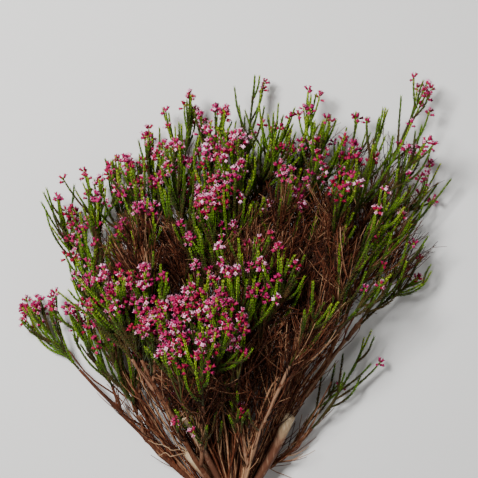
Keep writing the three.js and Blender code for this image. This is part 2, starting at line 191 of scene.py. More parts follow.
# Branches that rise over the others, towards +Z
FRONT = [
    {"knee": (-70, 120, 84), "tip": (-104, 213, 126), "forks": [
        {"at": 0.74, "tip": (-131, 224, 104)},
        {"at": 0.86, "tip": (-76, 236, 138)},
        {"at": 0.3, "tip": (-47, 206, 150), "forks": [
            {"at": 0.6, "tip": (-27, 172, 168), "sparse": True},
            {"at": 0.84, "tip": (-12, 204, 160)},
        ]},
    ]},
    {"knee": (30, 122, 90), "tip": (78, 206, 134), "sparse": True, "tone": 0.85, "forks": [
        {"at": 0.7, "tip": (116, 254, 118), "sparse": True},
        {"at": 0.86, "tip": (138, 230, 106), "sparse": True},
        {"at": 0.3, "tip": (22, 256, 138), "sparse": True, "forks": [
            {"at": 0.7, "tip": (4, 226, 156), "sparse": True},
            {"at": 0.84, "tip": (48, 238, 138), "sparse": True},
        ]},
    ]},
]

# Pale stubs of old wood that were pruned
STUBS = [
    {"knee": (-18, 36, 16), "end": (-43, 64, 24), "radius": 5.2, "flare": 0.9},
    {"knee": (-20, 60, 44), "end": (-44, 100, 72), "radius": 3.2, "flare": 0.8},
    {"knee": (30, 44, 30), "end": (52, 100, 46), "radius": 3.0, "flare": 1.7},
]

# What only this scene adds, from here on. Each group of pieces has random draws of its own.
(
    WOOD_DRAWS, BROOM_DRAWS, DRY_DRAWS, THICKET_DRAWS, BED_DRAWS, BARK_TONE_DRAWS, TWIG_TONE_DRAWS,
    PEELING_DRAWS, INNER_DRAWS, SPRAY_DRAWS,
) = range(1, 11)

# The foot and the other wood. A tone is how pale a spot is, mostly from 0 to 1.
FOOT_SIDES = 32
FOOT_ROUNDING = (0.93, 4)  # of the foot's radius at its very ends, and how fast it widens from there
FOOT_SWELLS = ((0.05, 5, 4), (0.06, 1, 11))  # how high, and how many waves round the foot and along it
FOOT_TONE = 0.5
CUT_SHARE = 0.84  # of the foot's radius: the rest is bark
CUT_BULGE = 0.9
CUT_SPANS = 28
CUT_RINGS = 34
CUT_TONES = (0.62, 0.3)  # of the cut, and how far its rings are from that
LIMB_POINTS = 30
FORK_POINTS = 16
KNOT_SWELL = 0.12
KNOT_STEP = 1.7
BARK_TONE = 0.58
BARK_VARIES = 0.12
SWAY = 1.3  # of wood from its even curve
SWAY_WAVES = (1, 2, 4)  # along any line that sways
SWAY_VARIES = (0.4, 1)
STUB_POINTS = 12
STUB_TONES = (-1.4, -1.4, -4.0)  # at a stub's root: the lower, the shorter its pale end
STUB_END_TONE = 1.3
STUB_EDGE = math.radians(50)
PEELINGS = [(36, 11), (27, -3), (15, 15)]  # how far strips of bark reach back and up from the first stub
PEELING_POINTS = 14
PEELING_BOW = np.array([0.0, 0.0, 6.0])
PEELING_SWAY = 2.6
PEELING_RADII = (0.55, 0.25)
PEELING_TONE = 0.7

# Dry twigs: the broom is made of long thin stems that run up between the branches
BROOM = 290
BROOM_RADII = (0.8, 0.4)
BROOM_VARIES = (0.75, 1.5)  # least and most of that thickness
BROOM_SWAY = 2.8
BROOM_REACH = 95  # most between the ends of two branches that such a stem runs between
BROOM_PLACES = 12  # along a branch's way from the foot
BROOM_KEPT = (7, 13)  # the least of those places that a stem passes, and one more than the most
BROOM_POINTS = 18
BROOM_TWIGS = 3
BROOM_TWIG_PLACES = (0.25, 0.95)
BROOM_TWIG_LENGTHS = (18, 46)
BROOM_TWIG_ANGLES = (0.25, 0.5)
BROOM_TWIG_SPANS = 3
DRY_POINTS = 6
DRY_TONE = 0.46
THIN_RADII = (0.46, 0.26)
TWIG_LEANS = (0.1, 0.5)  # how far twigs turn to +Y
TWIG_SWAY = 0.012  # share of its length that a twig sways by
TWIG_VARIES = 0.24  # of a twig's tone
STUB_ROOM = 7  # thin stems nearer the first stub than this pass under it
STUB_UNDER = 12
THICKETS = [  # bare twigs crowded together: middle, half its size each way, and how many
    {"middle": (-84, 262, 92), "half": (40, 32, 28), "count": 460, "darker": 0.07},
    {"middle": (54, 268, 100), "half": (56, 50, 34), "count": 940},
    {"middle": (165, 262, 44), "half": (26, 26, 30), "count": 90},
    {"middle": (60, 196, 112), "half": (42, 28, 26), "count": 150},
    {"middle": (-38, 144, 96), "half": (40, 22, 34), "count": 110},
    {"middle": (-30, 146, 124), "half": (38, 18, 26), "count": 110},
]
INNER_THICKETS = [  # the same, low down and between the branches
    {"middle": (0, 235, 34), "half": (150, 90, 26), "count": 420},
    {"middle": (0, 140, 70), "half": (80, 45, 50), "count": 190},
    {"middle": (14, 316, 26), "half": (150, 56, 18), "count": 300},
    {"middle": (110, 320, 24), "half": (84, 58, 20), "count": 330},
    {"middle": (-10, 170, 30), "half": (90, 56, 22), "count": 200},
    {"middle": (10, 256, 18), "half": (150, 84, 12), "count": 300},
    {"middle": (-84, 256, 50), "half": (50, 40, 24), "count": 150},
    {"middle": (0, 214, 78), "half": (100, 56, 26), "count": 300},
    {"middle": (54, 290, 48), "half": (64, 38, 26), "count": 220},
]
THICKET_TONE = 0.31
THICKET_RADII = (0.42, 0.22)
THICKET_SPREAD = 0.24  # how much the ways of a thicket's twigs differ
THICKET_REACHES = (18, 54)  # least and most from a thicket twig's root to its tip
FAN_MIDDLE = (0, -30, 20)  # a thicket's twigs point away from here
FAN_WIDTH = 0.86  # cosine of the most that a twig's root is off the way that its tip points
FAN_BEND = 0.6  # share of a twig that lies ahead of its bend
FAN_SPANS = 4
CARRIER_POINTS = 9  # of a spray's own line
CARRIER_KEPT = 6  # of those, from its root, that thickets and single shoots may grow from
OWN_ROOT = 0.004  # share of a twig's way by which its root is off its carrier's middle
SIDE_TWIGS = 2
SIDE_TWIG_RADII = (0.26, 0.17)
SIDE_TWIG_PLACES = (0.4, 0.9)
SIDE_TWIG_ANGLES = (0.4, 1.0)
SIDE_TWIG_LENGTHS = (6, 14)

# Leafy shoots
MOST_SHOOTS = (10, 2)  # more along a spray's own line, and on each of its main shoots
RIGHT_SHOOTS = (5, 1)  # the same on the stem's right side
SPARSE_SHOOTS = (2, 0)  # and on the sparse sprays
SPARSE_BARE = (0.4, 0.15)  # of a sparse spray's own line and of its shoots, without leaves
RIGHT_SIDE = 30
RIGHT_FAN = (0, 45, 20)  # on that side, the added shoots lean away from here
FINE_OWN = {"leans": (0.4, 0.8), "turns": (0.15, 0.5), "spans": 5}  # of those on a spray's own line
FINE_SIDE = {"leans": (0.3, 0.6), "turns": (0.2, 0.5), "spans": 4}  # and of those on its main shoots
FINE_PLACES = (0.02, 0.9)
FINE_REACHES = (0.5, 0.96)  # of the rest of the line that an added shoot grows from
FINE_EXTRA = (4, 10)  # more than that reach
SPRAY_BARE = (0.12, 0.04)  # of a full spray's own line and of its shoots, without leaves
SHOOT_BEDS = [  # single shoots that fill a place, some of them over a thicket: middle, half size and count
    {"name": "low", "middle": (-22, 118, 84), "half": (42, 30, 34), "count": 80, "reaches": (10, 28)},
    {"name": "front_low", "middle": (-38, 184, 130), "half": (54, 26, 34), "count": 135, "bare": 0.55},
    {"name": "front_left", "middle": (-84, 218, 118), "half": (76, 36, 34), "count": 78},
    {"name": "front_middle", "middle": (4, 244, 122), "half": (50, 40, 36), "count": 22},
    {"name": "upper_left", "middle": (-52, 330, 78), "half": (80, 50, 40), "count": 92},
    {"name": "upper_right", "middle": (78, 340, 70), "half": (44, 38, 36), "count": 30},
    {"name": "middle", "middle": (-44, 262, 106), "half": (18, 18, 24), "count": 26},
    {"name": "top", "middle": (34, 364, 60), "half": (50, 28, 30), "count": 44},
    {"name": "left", "middle": (-148, 284, 56), "half": (32, 34, 40), "count": 44},
    {"name": "right", "middle": (150, 250, 66), "half": (34, 50, 40), "count": 9},
    {"name": "front_right", "middle": (30, 236, 132), "half": (34, 30, 20), "count": 38, "over": True},
]
BED_BARE = 0.25  # of such a shoot, without leaves
BED_SPREAD = 0.1
CROWDED = 0.6  # share of a thicket's ellipse, seen from above, that has few shoots over it
OWN_STEM = (12, 1.1)  # points along a spray's own green stem, and its thickness in shoot radii
SHOOT_STEM = (7, 1.0)  # the same for other shoots
STEM_END = 0.6  # of the shoot's radius
STEM_TONE = 0.12  # of a green stem under its leaves
WHORL = 4
WHORL_VARIES = 0.16  # of the angle between a whorl's leaves
LEAF_POINTS = 24  # of the line that leaves are set along
LEAF_SEAT = 0.6  # of the shoot's radius
LEAF_TILTS = (0.34, 0.08, 0.14)  # of a leaf from its shoot: usual, how it varies, and less at the tip
LEAF_TIP = 0.25  # share by which the last leaves are shorter
LEAF_TONES = (0.02, 0.55, 1.6)  # at a shoot's root, how much more at its tip, and how late that comes: darker low on the shoot for its dry, old leaves, and partly as painted shade
LEAF_VARIES = (0.07, 0.15)  # of the tones of single leaves, and of whole shoots
LEAF_FLAT = 0.62  # of a leaf's width
SIZE_VARIES = (0.82, 1.12)  # least and most of a leaf's or bell's usual size
PAINTED_SHADE_MIDDLE = (0, 190)  # the middle of the painted shade: leaves near it are drawn darkest, as if in shade
PAINTED_SUN_STARTS = (90, 60)  # painted sunlight: leaves get paler from this far out, or from this height
PAINTED_SUN_WAYS = (110, 100)  # over these ways
PAINTED_SUN_TONES = (-0.08, 0.22)  # painted shade and painted sunlight, added to a leaf's tone

# Heads of bells
FLOWER_BEDS = [  # where more shoots end in bells: middle and half its size, and the share that do
    {"middle": (-30, 168), "half": (40, 28), "share": 1.1},
    {"middle": (-46, 194), "half": (66, 26), "share": 1.0},
    {"middle": (-118, 188), "half": (20, 22), "share": 0.6},
    {"middle": (-92, 218), "half": (44, 22), "share": 0.7},
    {"middle": (-14, 316), "half": (26, 40), "share": 1.2, "paler": 0.12},
    {"middle": (-50, 262), "half": (16, 20), "share": 1.1},
    {"middle": (-92, 304), "half": (36, 32), "share": 0.6},
    {"middle": (-40, 348), "half": (64, 64), "share": 0.45, "paler": 0.25},
    {"middle": (24, 408), "half": (20, 18), "share": 0.5},
    {"middle": (74, 392), "half": (16, 16), "share": 0.5},
    {"middle": (180, 404), "half": (20, 20), "share": 0.34},
    {"middle": (-180, 190), "half": (44, 34), "share": 0.8},
    {"middle": (-154, 266), "half": (32, 22), "share": 0.6},
    {"middle": (-160, 310), "half": (46, 24), "share": 0.28},
    {"middle": (88, 330), "half": (48, 28), "share": 0.75},
    {"middle": (62, 304), "half": (30, 18), "share": 0.6},
    {"middle": (128, 262), "half": (34, 26), "share": 0.4},
    {"middle": (168, 320), "half": (44, 66), "share": 0.5, "paler": 0.2},
    {"middle": (30, 236), "half": (30, 28), "share": 0.42},
    {"middle": (-4, 232), "half": (30, 22), "share": 0.5},
    {"middle": (14, 250), "half": (40, 36), "share": 0.3},
]
FEW_FLOWERS = 0.12  # share of shoots that end in bells elsewhere
CLUMP = 5  # flower heads stand in clumps, about three times this apart
CLUMP_BENDS = ((0.8, 1.3), (0.9, 1.7))  # how far the rows of clumps sway, and over what length
CLUMP_SHARES = (0.94, 0.6)  # of a bed's share of flowers: usual, and how much more or less in clumps
SIDE_HEADS = 0.28  # of the flowering shoots, those with a second head on their side
SIDE_HEAD_PLACES = (0.75, 0.92)
BELLS = (4, 6)  # the least of a head, and one more than the most
BELL_TILTS = (0.3, 1.5, 0.12)  # of the first and the last bell of a head, and how they vary
BELL_BACK = 2.6  # most that a tilted bell sits behind the tip
BELL_LEVEL = 0.9  # tilt past which it does
BELL_STALK = 0.9
BELL_SIDES = 8
BELL_RINGS = ((0.3, 0.84), (0.7, 0.78), (0.93, 1.24))  # shares of the bell's length and of its radius
BELL_HOLLOW = 0.28  # of its length
BELL_NEAR = 0.01  # of its length: corners this near the height of its mouth are the mouth's
BELL_LOBES = (0.08, 1.04, 0.26)  # of a lobe: rise in lengths, reach in radii, and how far that varies
BELL_TONES = (0.36, 0.2, 0.14)  # usual, how heads vary, and how bells of a head vary

# The stage. The camera looks straight down on the laid stem, as the photograph looks at the upright one.
FLOOR_SIZE = 8
FLOOR_DROP = 0.2 * MM
ROOM_LIGHT = 0.11
LAMPS = [
    {"name": "key", "at": (-0.6, 0.5, 1.5), "size": 0.4, "power": 47},
    {"name": "fill", "at": (1.0, -0.5, 1.4), "size": 1.2, "power": 5},
]
VIEW_MIDDLE = (5.4, 262)
VIEW_HEIGHT = 1500
SENSOR_WIDTH = 36
FOCAL_LENGTH = 119.7


class HeathSizes(bpy.types.PropertyGroup):
    """Sizes of the fine pieces."""

    leaf_length: bpy.props.FloatProperty(
        name="Leaf length", description="Length of a needle leaf", default=3.6 * MM, unit="LENGTH",
    )
    leaf_width: bpy.props.FloatProperty(
        name="Leaf width", description="Width of a needle leaf", default=1.35 * MM, unit="LENGTH",
    )
    whorl_step: bpy.props.FloatProperty(
        name="Whorl step", description="Length of shoot between two whorls of leaves", default=2.2 * MM,
        unit="LENGTH",
    )
    shoot_radius: bpy.props.FloatProperty(
        name="Shoot radius", description="Radius of a green shoot under its leaves", default=0.95 * MM,
        unit="LENGTH",
    )
    bell_length: bpy.props.FloatProperty(
        name="Bell length", description="Length of one bell", default=5.0 * MM, unit="LENGTH",
    )
    bell_radius: bpy.props.FloatProperty(
        name="Bell radius", description="Radius of a bell at its belly", default=1.3 * MM, unit="LENGTH",
    )


class HeathColours(bpy.types.PropertyGroup):
    """Colours of the finishes."""

    bark_dark: bpy.props.FloatVectorProperty(
        name="Dark bark", description="Bark in its furrows", default=(0.04, 0.013, 0.007),
        subtype="COLOR", min=0, max=1,
    )
    bark_red: bpy.props.FloatVectorProperty(
        name="Red bark", description="Most of the bark", default=(0.11, 0.038, 0.018),
        subtype="COLOR", min=0, max=1,
    )
    bark_tan: bpy.props.FloatVectorProperty(
        name="Tan bark", description="Weathered bark", default=(0.27, 0.15, 0.088),
        subtype="COLOR", min=0, max=1,
    )
    wood_pale: bpy.props.FloatVectorProperty(
        name="Pale wood", description="Bare wood of the stubs and of the cut", default=(0.4, 0.275, 0.155),
        subtype="COLOR", min=0, max=1,
    )
    wood_bleached: bpy.props.FloatVectorProperty(
        name="Bleached wood", description="Palest streaks of the bare wood", default=(0.56, 0.43, 0.27),
        subtype="COLOR", min=0, max=1,
    )
    twig_dark: bpy.props.FloatVectorProperty(
        name="Dark twig", description="Dry twigs at their darkest", default=(0.022, 0.007, 0.004),
        subtype="COLOR", min=0, max=1,
    )
    twig_red: bpy.props.FloatVectorProperty(
        name="Red twig", description="Most of the dry twigs", default=(0.13, 0.034, 0.014),
        subtype="COLOR", min=0, max=1,
    )
    twig_tan: bpy.props.FloatVectorProperty(
        name="Tan twig", description="Dry twigs at their palest", default=(0.4, 0.225, 0.12),
        subtype="COLOR", min=0, max=1,
    )
    leaf_dry: bpy.props.FloatVectorProperty(
        name="Dry leaf", description="Leaves at the roots of the shoots", default=(0.085, 0.042, 0.012),
        subtype="COLOR", min=0, max=1,
    )
    # the oldest leaves, and also the colour of the painted shade on leaves
    leaf_dark: bpy.props.FloatVectorProperty(
        name="Old leaf", description="Oldest and most shaded leaves", default=(0.022, 0.042, 0.004),
        subtype="COLOR", min=0, max=1,
    )
    leaf_green: bpy.props.FloatVectorProperty(
        name="Leaf", description="Most of the leaves", default=(0.14, 0.31, 0.01),
        subtype="COLOR", min=0, max=1,
    )
    leaf_young: bpy.props.FloatVectorProperty(
        name="Young leaf", description="Leaves at the tips", default=(0.5, 0.66, 0.028),
        subtype="COLOR", min=0, max=1,
    )
    bell_base: bpy.props.FloatVectorProperty(
        name="Bell base", description="A bell where it meets its stalk", default=(0.13, 0.002, 0.008),
        subtype="COLOR", min=0, max=1,
    )
    bell_belly: bpy.props.FloatVectorProperty(
        name="Bell belly", description="Most of a bell", default=(0.38, 0.004, 0.105),
        subtype="COLOR", min=0, max=1,
    )
    bell_crimson: bpy.props.FloatVectorProperty(
        name="Crimson bell belly", description="Most of a bell in some heads", default=(0.33, 0.003, 0.036),
        subtype="COLOR", min=0, max=1,
    )
    bell_mouth: bpy.props.FloatVectorProperty(
        name="Bell mouth", description="A bell's lobes", default=(0.98, 0.5, 0.7),
        subtype="COLOR", min=0, max=1,
    )
    floor: bpy.props.FloatVectorProperty(
        name="Floor", description="The surface that the stem lies on", default=(0.8, 0.79, 0.77),
        subtype="COLOR", min=0, max=1,
    )


# Lines and random draws


class Draws:
    """Random draws by Park and Miller's rule, for the lines that the solids share."""

    def __init__(self, seed):
        self.last = seed

    def __call__(self, low, high):
        self.last = self.last * DRAW_FACTOR % DRAW_LIMIT
        return low + ((high - low) * self.last) / DRAW_LIMIT


def mix(a, b, share):
    """What lies at a share of the way from a to b."""
    return a + (b - a) * share


def unit(v):
    """A direction of length 1."""
    return v / np.linalg.norm(v)


def lift(points, height):
    """Points that lie no lower than a height."""
    points[..., 2] = np.maximum(points[..., 2], height)
    return points


def arc(start, knee, end, t0, t1, spans):
    """The points of a quadratic curve from share t0 to share t1."""
    t = (t0 + (t1 - t0) * (np.arange(spans + 1) / spans))[:, None]
    return lift(mix(mix(start, knee, t), mix(knee, end, t), t), FLOOR_ROOM)


def length_of(points):
    """The length of a line of points."""
    return np.linalg.norm(np.diff(points, axis=0), axis=1).sum()


def along(points, share):
    """The point and the direction at a share of a line of points."""
    place = share * (len(points) - 1)
    i = min(math.floor(place), len(points) - 2)
    ahead = points[i + 1] - points[i]
    return points[i] + ahead * (place - i), unit(ahead)


def smooth(points, count):
    """Count points on a smooth curve through a line's points."""
    ends = np.vstack([2 * points[0] - points[1], points, 2 * points[-1] - points[-2]])
    place = np.linspace(0, len(points) - 1, count)
    i = np.minimum(place.astype(int), len(points) - 2)
    t = (place - i)[:, None]
    a, b, c, d = ends[i], ends[i + 1], ends[i + 2], ends[i + 3]
    return 0.5 * (2 * b + (c - a) * t + (2 * a - 5 * b + 4 * c - d) * t**2 + (3 * b - a - 3 * c + d) * t**3)


def side_line(root, ahead, around, angle, main, length, spans):
    """A side growth's line: it leaves its carrier at an angle and turns towards the main direction."""
    side = unit(np.cross(ahead, UP))
    over = np.cross(side, ahead)
    out = side * math.cos(around) + over * math.sin(around)
    first = ahead * math.cos(angle) + out * math.sin(angle)
    points = [root]
    for i in range(spans):
        step = unit(mix(first, main, i / spans))
        points.append(lift(points[-1] + step * (length / spans), FLOOR_ROOM))
    return np.array(points)


# The stem's growth


class Grown:
    """What has grown so far: straight stretches, with their radii, growths and whether they are wood."""

    def __init__(self):
        self.rows = np.zeros((0, 9))

    def add(self, parts):
        """Takes in new stretches."""
        self.rows = np.vstack([self.rows, parts])

    def is_clear(self, parts, carrier):
        """Whether new stretches keep clear of what has grown, but for their root and the crowded crown."""
        starts, ends, radii = self.rows[:, 0:3], self.rows[:, 3:6], self.rows[:, 6]
        is_wood, growths = self.rows[:, 7] > 0, self.rows[:, 8]
        ways = ends - starts
        squares = (ways**2).sum(1)
        for i, part in enumerate(parts):
            start, way, radius = part[0:3], part[3:6] - part[0:3], part[6]
            back = start - starts
            square, shared = way @ way, ways @ way
            theirs, ours = (ways * back).sum(1), back @ way
            skew = square * squares - shared**2
            first = np.clip((shared * theirs - ours * squares) / np.where(skew > 0, skew, np.inf), 0, 1)
            share2 = np.clip((shared * first + theirs) / squares, 0, 1)
            share1 = np.clip((shared * share2 - ours) / square, 0, 1)
            gaps = np.linalg.norm(back + share1[:, None] * way - share2[:, None] * ways, axis=1)
            fine = gaps > radius + radii + CLEARANCE
            if i == 0:
                fine |= growths == carrier
            if part[7] > 0:
                fine |= is_wood & (np.minimum(start[1], starts[:, 1]) < CROWN_END)
            if not fine.all():
                return False
        return True


def radius_at(radii, share):
    """The radius at a share of a growth's line, between its radii at the root and at the tip."""
    return mix(*radii, share**TAPER)


def stretches(points, radii, is_wood, growth):
    """The straight stretches of a line, as rows for what has grown."""
    facts = np.empty((len(points) - 1, 3))
    facts[:, 0] = radius_at(radii, np.arange(len(facts)) / len(facts))
    facts[:, 1:] = (is_wood, growth)
    return np.hstack([points[:-1], points[1:], facts])


def leafy_stretches(points, growth):
    """The stretches of a leafy line, with one more for the head at its end."""
    point, ahead = along(points, 1)
    head = stretches(np.array([point, point + ahead * HEAD_LENGTH]), (HEAD_REACH, HEAD_REACH), False, growth)
    return np.vstack([stretches(points, (LEAF_REACH, LEAF_REACH), False, growth), head])


class Stem:
    """The whole stem's lines: stubs, limbs with all their branches, shoots, and dry twigs."""

    def __init__(self):
        self.draw = Draws(SEED)
        self.grown = Grown()
        self.growths = 0
        self.stubs = [self.grow_stub(**plan) for plan in STUBS]
        self.branches = []
        for plan in BACK:
            self.grow_limb(plan, SPRAY_LENGTH)
        for plan in FRONT:
            self.grow_limb(plan, SPRAY_LENGTH * FRONT_SHARE)
        for branch in self.branches:
            self.grow_shoots(branch)
        self.twigs = []
        for _ in range(TWIGS):
            self.grow_twig(self.branches[math.floor(self.draw(0, len(self.branches)))])

    def grow_stub(self, knee, end, radius, flare):
        """A pruned stub, which grows out of the foot."""
        root = np.array([0.0, LIMB_ROOT, FOOT_HEIGHT])
        points = arc(root, np.array(knee), np.array(end), 0, 1, STUB_SPANS)
        radii = (radius, radius * flare)
        self.grown.add(stretches(points, radii, True, 0))
        return SimpleNamespace(points=points, radii=radii)

    def grow_limb(self, plan, leafy):
        """A branch that grows out of the foot, with all that forks from it."""
        knee = np.array(plan["knee"], float)
        start = np.array([knee[0] * LIMB_GATHER, LIMB_ROOT, FOOT_HEIGHT + knee[2] * LIMB_GATHER])
        self.grow_branch(plan, start, knee, LIMB_RADIUS, leafy, None)

    def grow_branch(self, plan, start, knee, thick, leafy, parent):
        """One branch and all that forks from it: wood up to where its leaves begin, then its spray."""
        name = f"spray_{len(self.branches) + 1:02d}"
        spans = LIMB_SPANS if parent is None else FORK_SPANS
        carrier = parent.growth if parent else -1
        self.growths += 1
        growth = self.growths
        nudge = np.zeros(3)
        for tries in range(1, MOST_TRIES + 1):
            bent_knee = knee + nudge * KNEE_SHARE
            bent_tip = np.array(plan["tip"]) + nudge
            whole = arc(start, bent_knee, bent_tip, 0, 1, spans * 2)
            leaf_start = 1 - min(leafy / length_of(whole), SPRAY_MOST)
            wood = arc(start, bent_knee, bent_tip, 0, leaf_start, spans)
            line = arc(start, bent_knee, bent_tip, leaf_start, 1, SPRAY_SPANS)
            line[0] += unit(line[1] - line[0]) * SPRAY_GAP
            wood_parts = stretches(wood, (thick, SPRAY_RADIUS), True, growth)
            leaf_parts = leafy_stretches(line, growth)
            if self.grown.is_clear(wood_parts, carrier) and self.grown.is_clear(leaf_parts, 0):
                break
            reach = NUDGE * tries
            nudge = np.array([self.draw(-reach, reach), self.draw(-reach, reach), self.draw(-reach, reach)])
        else:
            raise RuntimeError(f"{name} finds no clear way")
        self.grown.add(wood_parts)
        self.grown.add(leaf_parts)
        branch = SimpleNamespace(
            name=name, wood=wood, line=line, thick=thick, growth=growth, shoots=[], parent=parent,
            is_sparse="sparse" in plan, tone=plan.get("tone", BARK_TONE),
        )
        self.branches.append(branch)
        for fork in plan.get("forks", []):
            self.grow_fork(fork, branch, leafy)

    def grow_fork(self, fork, parent, leafy):
        """A branch that grows out of another, with all that forks from it."""
        point, ahead = along(parent.wood, fork["at"])
        aim = np.array(fork.get("knee", fork["tip"]), float) - point
        out = unit(aim - ahead * (aim @ ahead))
        first = ahead * math.cos(FORK_ANGLE) + out * math.sin(FORK_ANGLE)
        bend = point + first * (np.linalg.norm(aim) * FORK_FOLLOW)
        knee = np.array(fork["knee"], float) if "knee" in fork else bend
        self.grow_branch(fork, point, knee, FORK_RADIUS, leafy, parent)

    def grow_shoots(self, branch):
        """A spray's main shoots, as many as find room."""
        around = self.draw(0, TAU)
        for i in range(SHOOTS):
            share = i / (SHOOTS - 1)
            point, ahead = along(branch.line, mix(*SHOOT_PLACES, share))
            main = unit(mix(ahead, AHEAD, UPRIGHT))
            length = mix(*SHOOT_LENGTHS, share) * self.draw(*SHOOT_VARIES)
            self.growths += 1
            for tries in range(MOST_TRIES):
                around += LEAF_TURN
                reach = length * (1 - SHOOT_SHRINK * tries)
                spans = math.floor(reach / LEAF_STEP + 0.5)
                points = side_line(point, ahead, around, SHOOT_ANGLE, main, reach, spans)
                parts = leafy_stretches(points, self.growths)
                if self.grown.is_clear(parts, branch.growth):
                    self.grown.add(parts)
                    branch.shoots.append(points)
                    break

    def grow_twig(self, branch):
        """A main dry twig on a branch's wood, if it finds room."""
        point, ahead = along(branch.wood, self.draw(*TWIG_PLACES))
        length = self.draw(*TWIG_LENGTHS)
        self.growths += 1
        for _ in range(MOST_TRIES):
            around = self.draw(0, TAU)
            points = side_line(point, ahead, around, TWIG_ANGLE, ahead, length, TWIG_SPANS)
            parts = stretches(points, TWIG_RADII, True, self.growths)
            if self.grown.is_clear(parts, branch.growth):
                self.grown.add(parts)
                self.twigs.append(points)
                return


@functools.lru_cache
def stem():
    """The one stem that all pieces are made along."""
    return Stem()


def way_to(branch):
    """The wood from the foot to where a branch's leaves begin."""
    if branch.parent is None:
        return branch.wood
    before = way_to(branch.parent)
    start = np.linalg.norm(before - branch.wood[0], axis=1).argmin()
    return np.vstack([before[: max(start, 1)], branch.wood])


def sway(points, reach, rng):
    """A line with slight bends, none at its ends."""
    share = np.linspace(0, 1, len(points))
    shape = np.sin(share * math.pi)[:, None]
    bends = sum(
        np.sin(share[:, None] * TAU * wave + rng.uniform(0, TAU, 3)) * rng.uniform(*SWAY_VARIES, 3) / wave
        for wave in SWAY_WAVES
    )
    return lift(points + bends * shape * reach, FLOOR_ROOM)


# Meshes


def deselect():
    """Leaves nothing selected."""
    bpy.ops.object.select_all(action="DESELECT")


def select(*objects):
    """Selects only these, with the first as the active one."""
    deselect()
    for obj in objects:
        obj.select_set(True)
    bpy.context.view_layer.objects.active = objects[0]


def join(objects, name):
    """Several objects as one mesh, named."""
    select(*objects)
    bpy.ops.object.join()
    piece = bpy.context.object
    piece.name = name
    piece.data.name = name
    return piece


def tubes(name, lines, radii, tones, rounding=0):
    """Closed, tapering tubes along lines in millimetres, as one mesh. Each line has radii and a tone."""
    curve = bpy.data.curves.new(name, "CURVE")
    curve.dimensions = "3D"
    curve.bevel_depth = 1
    curve.bevel_resolution = rounding
    curve.use_fill_caps = True
    for points, thick in zip(lines, radii):
        spline = curve.splines.new("POLY")
        spline.points.add(len(points) - 1)
        places = np.hstack([(points + SHIFT) * MM, np.ones((len(points), 1))])
        spline.points.foreach_set("co", places.astype(np.float32).ravel())
        spline.points.foreach_set("radius", np.asarray(thick, np.float32) * MM)
        spline.use_smooth = True
    piece = bpy.data.objects.new(name, curve)
    bpy.context.collection.objects.link(piece)
    select(piece)
    bpy.ops.object.convert(target="MESH")
    bpy.ops.object.mode_set(mode="EDIT")
    bpy.ops.mesh.select_all(action="SELECT")
    bpy.ops.mesh.remove_doubles(threshold=0.001 * MM)
    bpy.ops.object.mode_set(mode="OBJECT")
    piece = bpy.context.object
    add_fact(piece.data, "tone", nearest_tones(piece.data, lines, tones))
    return piece


def nearest_tones(mesh, lines, tones):
    """The tone of the line that each of a mesh's corners is nearest to."""
    spots = (np.vstack(lines) + SHIFT) * MM
    values = np.concatenate([np.broadcast_to(tone, len(points)) for tone, points in zip(tones, lines)])
    tree = KDTree(len(spots))
    for i, spot in enumerate(spots):
        tree.insert(spot, i)
    tree.balance()
    return values[[tree.find(vertex.co)[1] for vertex in mesh.vertices]]


def add_fact(mesh, name, values):
    """A value at each of a mesh's corners, for its finish to read."""
    attribute = mesh.attributes.new(name, "FLOAT", "POINT")
    attribute.data.foreach_set("value", np.ascontiguousarray(values, np.float32).ravel())


def taper(count, radii):
    """Radii that go evenly from the first to the second."""
    return mix(*radii, np.linspace(0, 1, count))


def lay_on_floor(piece):
    """Moves what would be under the surface up to it."""
    places = np.empty(len(piece.data.vertices) * 3, np.float32)
    piece.data.vertices.foreach_get("co", places)
    places[2::3] = np.maximum(places[2::3], 0)
    piece.data.vertices.foreach_set("co", places)
    piece.data.update()


def master_mesh(obj):
    """A master's corners in its own size, its triangles, and itself removed."""
    mesh = obj.data
    mesh.calc_loop_triangles()
    places = np.empty(len(mesh.vertices) * 3)
    mesh.vertices.foreach_get("co", places)
    corners = np.empty(len(mesh.loop_triangles) * 3, np.int32)
    mesh.loop_triangles.foreach_get("vertices", corners)
    bpy.data.objects.remove(obj)
    return places.reshape(-1, 3), corners.reshape(-1, 3)


def copies(name, master, seats, facts):
    """Copies of a master at seats, in one mesh. Facts are values that the finish reads, for each corner."""
    places, triangles = master
    count = len(seats.base)
    sized = places[None] * seats.size[:, None, None]
    turned = (
        sized[..., 0:1] * seats.side[:, None] + sized[..., 1:2] * seats.over[:, None]
        + sized[..., 2:3] * seats.ahead[:, None]
    )
    spots = lift((turned + (seats.base[:, None] + SHIFT) * MM), 0).reshape(-1, 3)
    corners = (triangles[None] + (np.arange(count) * len(places))[:, None, None]).reshape(-1)
    mesh = bpy.data.meshes.new(name)
    mesh.vertices.add(len(spots))
    mesh.vertices.foreach_set("co", spots.astype(np.float32).ravel())
    mesh.loops.add(len(corners))
    mesh.loops.foreach_set("vertex_index", corners.astype(np.int32))
    mesh.polygons.add(len(corners) // 3)
    mesh.polygons.foreach_set("loop_start", np.arange(0, len(corners), 3, dtype=np.int32))
    for fact, values in facts.items():
        add_fact(mesh, fact, values)
    mesh.update(calc_edges=True)
    mesh.shade_smooth()
    piece = bpy.data.objects.new(name, mesh)
    bpy.context.collection.objects.link(piece)
    return piece


def dress(piece, material, nodes):
    """Gives a piece its finish, what it stands for and what it rides on."""
    piece.data.materials.clear()
    piece.data.materials.append(material)
    if nodes:
        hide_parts(*nodes)
    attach(piece, "root")


# Finishes


def new_finish(name, roughness, shine):
    """A new material with its node tree and its shader."""
    material = bpy.data.materials.new(name)
    material.use_nodes = True
    shader = material.node_tree.nodes["Principled BSDF"]
    shader.inputs["Roughness"].default_value = roughness
    shader.inputs["Specular IOR Level"].default_value = shine
    return material, material.node_tree, shader


